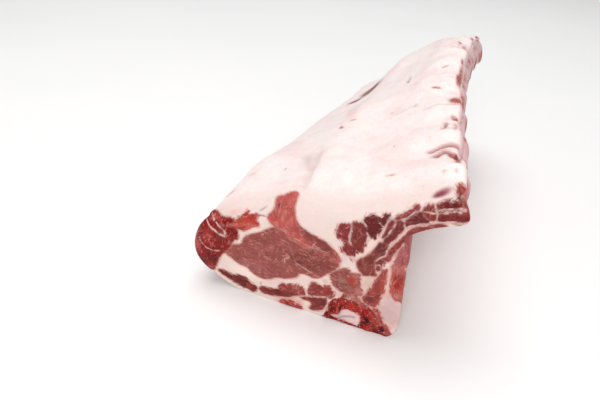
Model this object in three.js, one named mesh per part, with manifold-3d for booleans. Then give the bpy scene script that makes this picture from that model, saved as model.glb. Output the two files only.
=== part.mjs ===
// A raw bone-in rack of pork: eight ribs of the loin, lying on the flat side where the backbone was sawn
// in half. It is seen as a butcher lays it down, with the fat uppermost and the ribs reaching out to +X.
//
// Millimetres, +Z up. The rack runs along +Y, with the cut face that shows at the low Y end. The origin is
// on the surface that the rack lies on, under the middle of its box.
//
// Every piece is drawn once, as its outline on the near cut face, and extruded the length of the rack. One
// function, sculpt, then shapes the prism into the rack, so that pieces which lie side by side on the cut
// face stay side by side all the way along.

import * as THREE from 'three';
import { mergeVertices } from 'three/addons/utils/BufferGeometryUtils.js';
import Module from 'manifold-3d';

const wasm = await Module();
wasm.setup();

// ---- Driving dimensions ----

const LENGTH = 280; // from cut face to cut face
const RIB_COUNT = 8;
const RIB_PITCH = LENGTH / RIB_COUNT;
const STATIONS = 4 * RIB_COUNT; // steps along the length
const GAP = 0.6; // between pieces that grow together in the real rack

// Three places across the near cut face.
const BACK_X = -75;
const CHEST_X = 53;
const RIB_END_X = 75;

// How far each of those has come in by the far end, which is the narrower one.
const BACK_DRAWN_IN = 10;
const CHEST_DRAWN_IN = 38;
const RIB_ENDS_DRAWN_IN = 24.5;

// The far end is higher in the middle. The rise is complete at `reach` along the rack, and it falls off
// over `backWidth` and `ribWidth` to the two sides.
const LIFT = { rise: 27, reach: 250, x: 20, backWidth: 36, ribWidth: 57 };

// A thick pad of fat swells near the front of the back edge.
const SHOULDER = { rise: 8, at: 46, length: 34, x: -54, width: 24 };

const RIB_SWELL = 1.6; // how far the fat stands up over each rib at the rib ends
const RIB_RIDGE = 1.6; // how far each rib stands out inside the chest
const UNEVENNESS = 1; // the slow rise and fall of the fat
const NEAR_ROUNDING = 3; // how far the fat rolls over towards the near cut face
const FAR_ROUNDING = 8; // and towards the far one

const MUSCLE_RELIEF = 1.2; // how far cut muscles stand out of the fat between them
const MUSCLE_ROOT = 2; // how deep the relief is rooted in the meat
const MUSCLE_EDGE = 1.6; // the rounded edge of the relief
const RIB_END = { x: 72.3, z: 90, out: 3.2, along: 7.5, thick: 5.5 }; // a sawn rib end and its half sizes

// ---- Outlines on the near cut face, as [x, z] landmarks ----

// The fat's underside, from the back edge to the rib ends. It rises over the strap of red meat that comes
// up through the fat, and dips into the deep seam between the loin eye and the rib meat. Its top comes back.
const FAT_UNDERSIDE = [
  [-65.5, 47], [-61, 46.6], [-57, 50], [-47, 52.5], [-40, 58], [-33, 60], [-26, 61], [-23, 66],
  [-20, 71.5], [-15.5, 75.4], [-11.5, 74.5], [-10, 68], [-7.5, 61.5], [-1, 57.3], [7, 53.6], [13.5, 49.5],
  [19.5, 42], [24, 39.3], [27.3, 42.5], [23, 48.5], [16.5, 55.5], [15.8, 64], [20.5, 70], [27, 75],
  [34, 78], [46.5, 81.5], [55, 88], [62.5, 94.3], [70.2, 98.2],
];
const FAT_RIB_EDGE = [[70.2, 98.2], [71.4, 100.4], [69.4, 102.3]];
const FAT_TOP = [
  [69.4, 102.3], [65, 101.3], [56, 97.3], [45, 92], [35, 87.5], [26, 83.6], [17, 80.7], [7, 79.6],
  [-2, 80], [-10, 79.8], [-17, 77.6], [-25, 73.6], [-35, 69], [-46, 64], [-56, 57.5], [-63, 51], [-65.5, 47],
];

// The meat's own outside, counterclockwise from the fat's edge on the back to the fat's edge on the ribs.
const BACK = [
  [-66.3, 46], [-70.5, 40.5], [-74.2, 33], [-75.7, 25.5], [-74.4, 18.5], [-70.5, 12.5], [-65, 8],
  [-58, 4], [-51, 1.2], [-45, 0],
];
const CHEST_WALL = [
  [48.2, 0], [52.3, 5], [53.6, 13], [53, 28], [52.3, 44], [53, 56], [51.6, 63], [49.6, 66.6],
];
const CHEST_HOLLOW = [[49.6, 66.6], [55, 72.2], [63, 78], [69, 81], [73, 82.8]];
const RIB_SIDE = [[73, 82.8], [75.2, 85.5], [75.8, 90], [75.2, 94.4], [73.6, 96.8], [71, 97.5]];

// The half of the backbone, over the flat side where it was sawn.
const BONE_TOP = [
  [46, 0], [44.8, 4], [38.5, 15.5], [31.5, 21.7], [21, 23.8], [12.2, 17.5], [9.8, 9], [9.4, 0],
];

// The muscles that the cut shows, each a patch of relief on the cut face.
const MUSCLES = {
  loinEye: [
    [-57.8, 24.4], [-45, 35], [-38.7, 44.2], [-27.4, 51.7], [-20.2, 54.4], [-7.6, 47.4], [6, 44.6],
    [15, 43.2], [17, 40.5], [7.6, 27.2], [-5, 27], [-19.7, 18.5], [-33, 16.4],
  ],
  strap: [
    [-24.5, 60], [-20, 69.5], [-15.5, 73.6], [-12.5, 72], [-10.8, 63], [-1, 55.5], [7, 51.5], [0, 47],
    [-19, 56],
  ],
  backMuscle: [
    [-58.6, 45], [-65.7, 42], [-72, 33], [-73, 24], [-70, 15], [-62.5, 13.5], [-46.8, 39.5], [-51, 47],
  ],
  smallMuscle: [[-46, 48], [-38.4, 55.5], [-32, 57], [-32.9, 51.5], [-43, 45]],
  featherStrip: [
    [-56, 9.4], [-42, 4.6], [-28, 3], [-3.4, 9], [10, 14.6], [12.6, 21.5], [9.6, 24.6], [3.4, 21.6],
    [-2.7, 15], [-12, 15.2], [-25.5, 7.8], [-41.6, 7.8],
  ],
  deepMuscle: [[12.4, 32], [20.4, 38], [28.1, 36.5], [29.5, 29.4], [23.4, 25.6], [16.4, 26.2]],
  bodyMuscle: [[41, 45], [42.2, 37.9], [40.6, 24.9], [33.8, 25.6], [36.5, 35.4]],
  chestLobe: [[46, 48], [50.6, 60], [50.4, 47], [51, 31.5], [47.2, 31.5], [45.6, 40.9]],
  ribMeat: [
    [17.6, 56], [17.2, 63.6], [21.6, 69.2], [27.4, 73.4], [38, 78], [36.8, 71], [29.3, 56.7], [25.6, 50.6],
  ],
  ribBand: [[28, 45.5], [32.5, 55.5], [37, 61.5], [41.5, 61], [38, 50], [34.5, 43], [31, 40.5]],
  tailMeat: [
    [39, 64], [43.4, 73.6], [47.4, 79.6], [56.4, 86], [63, 92.4], [71, 95], [73.4, 90], [71, 85.4],
    [62.6, 80.8], [52.3, 75.4], [46, 70],
  ],
};

// ---- Helpers ----

const smooth = THREE.MathUtils.smoothstep;
const bell = (v, centre, width) => Math.exp(-(((v - centre) / width) ** 2));
const vectors = (landmarks) => landmarks.map(([x, z]) => new THREE.Vector2(x, z));

// Points along a smooth curve through the landmarks, two to each landmark.
function curvePoints(landmarks) {
  return new THREE.SplineCurve(vectors(landmarks)).getPoints(2 * (landmarks.length - 1));
}

// A closed outline that runs counterclockwise, with every edge moved outwards.
function grown(outline, distance) {
  return outline.map((point, i) => {
    const into = point.clone().sub(outline.at(i - 1)).normalize();
    const outOf = outline[(i + 1) % outline.length].clone().sub(point).normalize();
    const outwards = new THREE.Vector2(into.y + outOf.y, -into.x - outOf.x);
    return point.clone().addScaledVector(outwards, distance / Math.max(1 + into.dot(outOf), 0.4));
  });
}

// A closed geometry as a manifold solid, and back again.
function toSolid(geometry) {
  const bare = geometry.index ? geometry.toNonIndexed() : geometry.clone();
  bare.deleteAttribute('normal');
  bare.deleteAttribute('uv');
  const merged = mergeVertices(bare, 1e-4);
  return new wasm.Manifold(
    new wasm.Mesh({
      numProp: 3,
      vertProperties: merged.attributes.position.array,
      triVerts: new Uint32Array(merged.index.array),
    }),
  );
}

function toGeometry(solid) {
  const { vertProperties, triVerts } = solid.getMesh();
  const geometry = new THREE.BufferGeometry();
  geometry.setAttribute('position', new THREE.BufferAttribute(new Float32Array(vertProperties), 3));
  geometry.setIndex(new THREE.BufferAttribute(new Uint32Array(triVerts), 1));
  geometry.computeVertexNormals();
  return geometry;
}

// ---- The rack's form ----

// How strongly a rib is felt at a distance t from the near cut face: 1 over a rib, -1 between two.
const ribWave = (t) => -Math.cos((2 * Math.PI * t) / RIB_PITCH);

// The share of a change that has happened by distance t, quick at first and complete at `reach`.
const easeTo = (t, reach) => Math.sin((Math.PI / 2) * Math.min(t / reach, 1));

// Moves one point of the straight prism, given on the near cut face's outline, to its place in the rack.
function sculpt(point) {
  const { x, z } = point;
  const t = THREE.MathUtils.clamp(point.y + LENGTH / 2, 0, LENGTH);

  // The far end is narrower. The back edge comes in a little, the chest wall more, and above the chest the
  // rib ends by an amount of their own, most of it in the first two thirds of the length.
  const ribPart = smooth(z, 30 + 36 * smooth(x, 0, CHEST_X), 84);
  const across = THREE.MathUtils.clamp((x - BACK_X) / (CHEST_X - BACK_X), 0, 1);
  const backIn = BACK_DRAWN_IN * smooth(t, 90, LENGTH) * smooth(-x, -10, -BACK_X);
  const chestIn = CHEST_DRAWN_IN * (t / LENGTH) * across ** 1.3;
  const ribsIn = RIB_ENDS_DRAWN_IN * easeTo(Math.max(t - 6, 0), 205) * (Math.max(x, 0) / RIB_END_X);

  // It is also higher, with nothing of that left at the flat side that the rack lies on.
  const height = THREE.MathUtils.clamp(z / 80, 0, 1.2);
  const liftHere = bell(x, LIFT.x, x < LIFT.x ? LIFT.backWidth : LIFT.ribWidth) * height ** 1.6;
  const lift = LIFT.rise * easeTo(t, LIFT.reach) * liftHere;
  const shoulderHere = bell(t, SHOULDER.at, SHOULDER.length) * bell(x, SHOULDER.x, SHOULDER.width);
  const shoulder = SHOULDER.rise * shoulderHere * smooth(z, 38, 56);

  // The fat rises over each rib near the rib ends, and the ribs stand out inside the chest.
  const overRibs = RIB_SWELL * ribWave(t) * smooth(x, 22, 68) * smooth(z, 78, 90);
  const inChest = RIB_RIDGE * ribWave(t) * smooth(x, 47, 53) * smooth(z, 60, 68) * smooth(-z, -92, -80);

  // The fat's top is uneven, and rolls over towards the cut faces.
  const waves = Math.sin(t / 31 + x / 23) + Math.sin(t / 17 - x / 29 + 1);
  const rolledOver = NEAR_ROUNDING * smooth(-t, -12, 8) + FAR_ROUNDING * smooth(t, LENGTH - 45, LENGTH);
  const onTop = (UNEVENNESS * waves * smooth(t, 0, 40) - rolledOver) * smooth(z, 50, 78);

  return new THREE.Vector3(
    x + backIn - chestIn * (1 - ribPart) - ribsIn * ribPart + 0.6 * inChest,
    point.y,
    z + lift + shoulder + overRibs - 0.8 * inChest + onTop,
  );
}

function sculpted(geometry) {
  const position = geometry.getAttribute('position');
  for (let i = 0; i < position.count; i += 1) {
    const moved = sculpt(new THREE.Vector3().fromBufferAttribute(position, i));
    position.setXYZ(i, moved.x, moved.y, moved.z);
  }
  return geometry;
}

// A piece that runs through the whole rack, from its outline on the near cut face, and past it by some more
// stations at each end.
function throughRack(outline, extraStations = 0) {
  const overhang = (extraStations * LENGTH) / STATIONS;
  const prism = new THREE.ExtrudeGeometry(new THREE.Shape(outline), {
    depth: LENGTH + 2 * overhang,
    steps: STATIONS + 2 * extraStations,
    bevelEnabled: false,
  });
  prism.rotateX(Math.PI / 2).translate(0, LENGTH / 2 + overhang, 0);
  return toSolid(sculpted(prism));
}

// ---- Outlines of the pieces ----

const fatOutline = [
  ...vectors(FAT_UNDERSIDE).slice(0, -1),
  ...vectors(FAT_RIB_EDGE).slice(0, -1),
  ...vectors(FAT_TOP).slice(0, -1),
];
const boneOutline = curvePoints(BONE_TOP);

// The meat's outline runs just inside the top of the fat, which is cut away from it below.
const UNDER_FAT_TOP = new THREE.Vector2(0, 1.5);
const leanOutline = [
  ...vectors(BACK).slice(0, -1),
  new THREE.Vector2(-45, 0),
  ...vectors(CHEST_WALL).slice(0, -1),
  ...vectors(CHEST_HOLLOW).slice(0, -1),
  ...vectors(RIB_SIDE),
  ...vectors(FAT_TOP).slice(1, -1).map((point) => point.sub(UNDER_FAT_TOP)),
];

// ---- Pieces ----

// The patch of relief that a muscle makes on one of the cut faces, at end -1 or 1.
function muscleRelief(landmarks, end) {
  const patch = new THREE.ExtrudeGeometry(new THREE.Shape(vectors(landmarks)), {
    depth: MUSCLE_ROOT,
    bevelThickness: MUSCLE_RELIEF,
    bevelSize: MUSCLE_EDGE,
    bevelOffset: -MUSCLE_EDGE,
    bevelSegments: 1,
  });
  patch.rotateX(Math.PI / 2).translate(0, (end * LENGTH) / 2 + MUSCLE_ROOT / 2, 0);
  return toSolid(sculpted(patch));
}

// A sawn rib end, a low rounded stub on the rack's rib side.
function ribEnd(index) {
  const stub = new THREE.SphereGeometry(1, 12, 8);
  stub.scale(RIB_END.out, RIB_END.along, RIB_END.thick);
  stub.translate(RIB_END.x, (index + 0.5) * RIB_PITCH - LENGTH / 2, RIB_END.z);
  return toSolid(sculpted(stub));
}

// The meat. It is drawn as if it filled the rack, with its relief, and then makes room for the fat and the
// bone.
function lean() {
  let solid = throughRack(leanOutline);
  for (const end of [-1, 1]) {
    for (const landmarks of Object.values(MUSCLES)) solid = solid.add(muscleRelief(landmarks, end));
  }
  for (let index = 0; index < RIB_COUNT; index += 1) solid = solid.add(ribEnd(index));
  for (const neighbour of [fatOutline, boneOutline]) {
    solid = solid.subtract(throughRack(grown(neighbour, GAP), 1));
  }
  return solid;
}

// ---- The rack ----

const FAT = new THREE.MeshStandardMaterial({ color: 0xf3dcd6, roughness: 0.45, metalness: 0 });
const LEAN = new THREE.MeshStandardMaterial({ color: 0xa8433f, roughness: 0.4, metalness: 0 });
const BONE = new THREE.MeshStandardMaterial({ color: 0xc4574c, roughness: 0.6, metalness: 0 });

const rack = new THREE.Group();
for (const [name, solid, material] of [
  ['fat_cap', throughRack(fatOutline), FAT],
  ['lean', lean(), LEAN],
  ['chine_bone', throughRack(boneOutline), BONE],
]) {
  const mesh = new THREE.Mesh(toGeometry(solid), material);
  mesh.name = name;
  rack.add(mesh);
}

export default rack;
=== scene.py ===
"""A raw rack of pork: its fat cap, its meat with the ribs in it and its sawn backbone, three closed pieces.

Every shape is worked out in millimetres on the flat section of the rack: x across it, z up, and t along it
from the near cut face. `bend` gives a section its place on the real rack, and `place_points` ends in metres.
"""
import math

import bpy
import numpy as np
from mathutils import Matrix, Vector
from mathutils.geometry import delaunay_2d_cdt


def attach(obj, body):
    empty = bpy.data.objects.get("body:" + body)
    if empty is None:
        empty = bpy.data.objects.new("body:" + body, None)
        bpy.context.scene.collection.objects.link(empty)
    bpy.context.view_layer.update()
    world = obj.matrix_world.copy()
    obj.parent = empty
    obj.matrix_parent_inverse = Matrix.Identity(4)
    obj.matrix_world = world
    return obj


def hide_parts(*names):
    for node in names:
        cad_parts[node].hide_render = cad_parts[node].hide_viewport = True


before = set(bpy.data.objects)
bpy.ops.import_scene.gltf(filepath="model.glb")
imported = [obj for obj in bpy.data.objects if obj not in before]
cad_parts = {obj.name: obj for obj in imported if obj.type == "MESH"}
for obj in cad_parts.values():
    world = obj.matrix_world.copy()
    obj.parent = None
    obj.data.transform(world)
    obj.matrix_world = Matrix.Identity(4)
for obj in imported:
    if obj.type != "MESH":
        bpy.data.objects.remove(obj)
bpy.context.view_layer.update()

# ---------------------------------------------------------------- the rack's sizes, mm
MM = 0.001
LENGTH = 280.0
RIB_COUNT = 8
RIB_PITCH = LENGTH / RIB_COUNT
BACK_X, CHEST_X, RIB_END_X = -75.0, 53.0, 75.0
BACK_DRAWN_IN, CHEST_DRAWN_IN, RIB_ENDS_DRAWN_IN = 10.0, 38.0, 24.5
LIFT = dict(rise=27.0, reach=250.0, x=20.0, back_width=36.0, rib_width=57.0)
SHOULDER = dict(rise=8.0, at=46.0, length=34.0, x=-54.0, width=24.0)
RIB_SWELL, RIB_RIDGE, UNEVENNESS = 1.6, 1.6, 1.0
NEAR_ROUNDING, FAR_ROUNDING = 3.0, 8.0

# Landmarks of the section. The outline runs from the chest's foot over ribs and fat to the back's foot.
CHEST_FOOT = (48.2, 0.0)
CHEST = [(52.3, 5), (53.6, 13), (53, 28), (52.3, 44), (53, 56), (51.6, 63), (49.6, 66.6), (55, 72.2),
         (63, 78), (69, 81), (73, 82.8)]
RIB_SIDE = [(75.2, 85.5), (75.8, 90), (75.2, 94.4), (73.6, 96.8), (71, 97.5)]
FAT_RIB_END = (70.2, 98.2)
FAT_EDGE = [(71.4, 100.4), (69.4, 102.3)]
FAT_TOP = [(65, 101.3), (56, 97.3), (45, 92), (35, 87.5), (26, 83.6), (17, 80.7), (7, 79.6), (-2, 80),
           (-10, 79.8), (-17, 77.6), (-25, 73.6), (-35, 69), (-46, 64), (-56, 57.5), (-63, 51)]
FAT_BACK_END = (-65.5, 47)
BACK = [(-70.5, 40.5), (-74.2, 33), (-75.7, 25.5), (-74.4, 18.5), (-70.5, 12.5), (-65, 8), (-58, 4),
        (-51, 1.2)]
BACK_FOOT = (-45, 0)
FAT_UNDERSIDE = [(-61, 46.6), (-57, 50), (-47, 52.5), (-40, 58), (-33, 60), (-26, 61), (-23, 66), (-20, 71.5),
                 (-15.5, 75.4), (-11.5, 74.5), (-10, 68), (-7.5, 61.5), (-1, 57.3), (7, 53.6), (13.5, 49.5),
                 (19.5, 42), (24, 39.3), (27.3, 42.5), (23, 48.5), (16.5, 55.5), (15.8, 64), (20.5, 70),
                 (27, 75), (34, 78), (46.5, 81.5), (55, 88), (62.5, 94.3)]
BONE_TOP = [(46, 0), (44.8, 4), (38.5, 15.5), (31.5, 21.7), (21, 23.8), (12.2, 17.5), (9.8, 9), (9.4, 0)]

# How finely the surfaces are divided, mm
OUTSIDE_STEP, INSIDE_STEP, BOTTOM_STEP, STATION_STEP = 1.2, 2.2, 3.0, 1.2
NEAR_CUT_STEP, FAR_CUT_STEP = 0.66, 1.2
END_STATIONS = [0, 0.4, 0.9, 1.5, 2.2, 3, 4, 5.2, 6.6, 8.2, 10, 12]
# Depths in an outline are worked out this far from it, mm.
DEPTH_REACH = 14.0
# The depth in flesh and bone where none shows, mm
HIDDEN = -6.0


# ---------------------------------------------------------------- small mathematics
def smooth(value, low, high):
    """0 below low, 1 above high, and a soft step between them."""
    share = np.clip((value - low) / (high - low), 0, 1)
    return share * share * (3 - 2 * share)


def bell(value, centre, width):
    return np.exp(-((value - centre) / width) ** 2)


def ease_to(t, reach):
    return np.sin(np.pi / 2 * np.minimum(t / reach, 1))


def mix(a, b, share):
    return a + (b - a) * share


class Lumps:
    """Smooth random bumps of about one unit, from -1 to 1, the same in each run."""

    SIDE = 32

    def __init__(self, seed):
        self.table = np.random.default_rng(seed).uniform(-1, 1, (self.SIDE,) * 3)

    def __call__(self, *place):
        place = np.broadcast_arrays(*[np.asarray(p, float) for p in place])
        cell = [np.floor(p).astype(int) for p in place]
        share = [smooth(p - c, 0, 1) for p, c in zip(place, cell)]
        total = 0.0
        for corner in range(8):
            step = [corner >> axis & 1 for axis in range(3)]
            weight = 1.0
            for s, f in zip(step, share):
                weight = weight * (f if s else 1 - f)
            total = total + weight * self.table[tuple((c + s) % self.SIDE for c, s in zip(cell, step))]
        return total


broad_lumps, fine_lumps = Lumps(11), Lumps(12)


def soft_noise(size, *place):
    return broad_lumps(*[np.asarray(p) / size for p in place])


def rib_wave(t):
    """1 on each rib and -1 between two."""
    return -np.cos(2 * np.pi * t / RIB_PITCH)


def bend(x, z, t):
    """The rack's own curves: moves points of the flat section to their place on the rack."""
    along = np.clip(t, 0, LENGTH)
    rib_part = smooth(z, 30 + 36 * smooth(x, 0, CHEST_X), 84)
    across = np.clip((x - BACK_X) / (CHEST_X - BACK_X), 0, 1)
    back_in = BACK_DRAWN_IN * smooth(along, 90, LENGTH) * smooth(-x, -10, -BACK_X)
    chest_in = CHEST_DRAWN_IN * along / LENGTH * across**1.3
    ribs_in = RIB_ENDS_DRAWN_IN * ease_to(np.maximum(along - 6, 0), 205) * np.maximum(x, 0) / RIB_END_X
    height = np.clip(z / 80, 0, 1.2)
    width = np.where(x < LIFT["x"], LIFT["back_width"], LIFT["rib_width"])
    lift = LIFT["rise"] * ease_to(along, LIFT["reach"]) * bell(x, LIFT["x"], width) * height**1.6
    shoulder = (SHOULDER["rise"] * bell(along, SHOULDER["at"], SHOULDER["length"])
                * bell(x, SHOULDER["x"], SHOULDER["width"]) * smooth(z, 38, 56))
    over_ribs = RIB_SWELL * rib_wave(along) * smooth(x, 22, 68) * smooth(z, 78, 90)
    in_chest = RIB_RIDGE * rib_wave(along) * smooth(x, 47, 53) * smooth(z, 60, 68) * smooth(-z, -92, -80)
    waves = np.sin(along / 31 + x / 23) + np.sin(along / 17 - x / 29 + 1)
    rolled = NEAR_ROUNDING * smooth(-along, -12, 8) + FAR_ROUNDING * smooth(along, LENGTH - 45, LENGTH)
    on_top = (UNEVENNESS * waves * smooth(along, 0, 40) - rolled) * smooth(z, 50, 78)
    bent_x = x + back_in - chest_in * (1 - rib_part) - ribs_in * rib_part + 0.6 * in_chest
    bent_z = z + lift + shoulder + over_ribs - 0.8 * in_chest + on_top
    return bent_x, bent_z


def curve_through(landmarks, step, closed=False):
    """Points a step apart on a smooth curve through the landmarks, and where each landmark is among them."""
    marks = np.asarray(landmarks, float)
    if closed:
        ends = np.vstack([marks[-1:], marks, marks[:2]])
    else:
        ends = np.vstack([2 * marks[0] - marks[1], marks, 2 * marks[-1] - marks[-2]])
    points, places = [], []
    for i in range(1, len(ends) - 2):
        four = ends[i - 1:i + 3]
        knots = np.concatenate([[0], np.cumsum(np.sqrt(np.linalg.norm(np.diff(four, axis=0), axis=1)))])
        count = max(1, round(np.linalg.norm(four[2] - four[1]) / step))
        at = mix(knots[1], knots[2], np.arange(count) / count)[:, None]
        level = list(four)
        for order in (1, 2):
            span = [(knots[k], knots[k + order]) for k in range(4 - order)]
            level = [((b - at) * p + (at - a) * q) / (b - a) for (a, b), p, q in zip(span, level, level[1:])]
        a, b = knots[1], knots[2]
        places.append(len(points))
        points.extend(((b - at) * level[0] + (at - a) * level[1]) / (b - a))
    if not closed:
        places.append(len(points))
        points.append(marks[-1])
    return np.array(points), places


def straight(a, b, step):
    count = max(1, round(math.dist(a, b) / step))
    return mix(np.array(a, float), np.array(b, float), np.linspace(0, 1, count + 1)[:, None])


def nearest_on(path, points, closed=True):
    """For each point, its distance to a path, the segment it is nearest to and how far along that segment."""
    start = path if closed else path[:-1]
    run = (np.roll(path, -1, axis=0) if closed else path[1:]) - start
    length2 = np.maximum((run**2).sum(1), 1e-12)
    best = np.empty(len(points)), np.empty(len(points), int), np.empty(len(points))
    for first in range(0, len(points), 4000):
        some = slice(first, first + 4000)
        off = points[some, None] - start[None]
        share = np.clip((off * run).sum(2) / length2, 0, 1)
        gap2 = ((off - share[..., None] * run) ** 2).sum(2)
        pick = gap2.argmin(1)
        rows = np.arange(len(pick))
        best[0][some], best[1][some], best[2][some] = np.sqrt(gap2[rows, pick]), pick, share[rows, pick]
    return best


def is_inside(points, outline):
    """Whether each point is inside a closed outline."""
    a, b = outline, np.roll(outline, -1, axis=0)
    inside = np.zeros(len(points), bool)
    x, z = points[:, 0], points[:, 1]
    for (ax, az), (bx, bz) in zip(a, b):
        if az != bz:
            crosses = (az > z) != (bz > z)
            inside ^= crosses & (x < (bx - ax) * (z - az) / (bz - az) + ax)
    return inside


def depth_in(points, outline):
    """How deep each point is in a closed outline, in mm: negative outside, and at least -DEPTH_REACH."""
    depth = np.full(len(points), -DEPTH_REACH)
    low, high = outline.min(0) - DEPTH_REACH, outline.max(0) + DEPTH_REACH
    near = ((points > low) & (points < high)).all(1)
    if near.any():
        gap = nearest_on(outline, points[near])[0]
        depth[near] = np.where(is_inside(points[near], outline), gap, -np.minimum(gap, DEPTH_REACH))
    return depth


def resampled(line, count):
    """So many points at equal distances along a line."""
    run = np.concatenate([[0], np.cumsum(np.linalg.norm(np.diff(line, axis=0), axis=1))])
    at = np.linspace(0, run[-1], count)
    return np.column_stack([np.interp(at, run, line[:, axis]) for axis in (0, 1)])


def middle_line(outline, past=20.0):
    """The line through the middle of a closed outline, from far end to far end and some way past both."""
    spread = np.linalg.norm(outline[:, None] - outline[None], axis=2)
    a, b = sorted(np.unravel_index(spread.argmax(), spread.shape))
    sides = outline[a:b + 1], np.vstack([outline[b:], outline[:a + 1]])[::-1]
    middle = np.mean([resampled(side, 8) for side in sides], axis=0)
    ends = [middle[i] + past * (middle[i] - middle[j]) / np.linalg.norm(middle[i] - middle[j])
            for i, j in ((0, 1), (-1, -2))]
    return np.vstack([ends[0], middle, ends[1]])


def along_and_aside(points, line):
    """How far along a line each point is, and how far to its left."""
    gap, segment, share = nearest_on(line, points, closed=False)
    run = np.diff(line, axis=0)
    length = np.linalg.norm(run, axis=1)
    along = np.concatenate([[0], np.cumsum(length)])[segment] + share * length[segment]
    off = points - line[segment]
    left = run[segment, 0] * off[:, 1] - run[segment, 1] * off[:, 0] > 0
    return along, np.where(left, gap, -gap)


def srgb(*levels):
    """A colour given as red, green and blue from 0 to 255, as the linear light that Blender works in."""
    share = np.asarray(levels, float) / 255
    return np.where(share <= 0.04045, share / 12.92, ((share + 0.055) / 1.055) ** 2.4)


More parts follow.
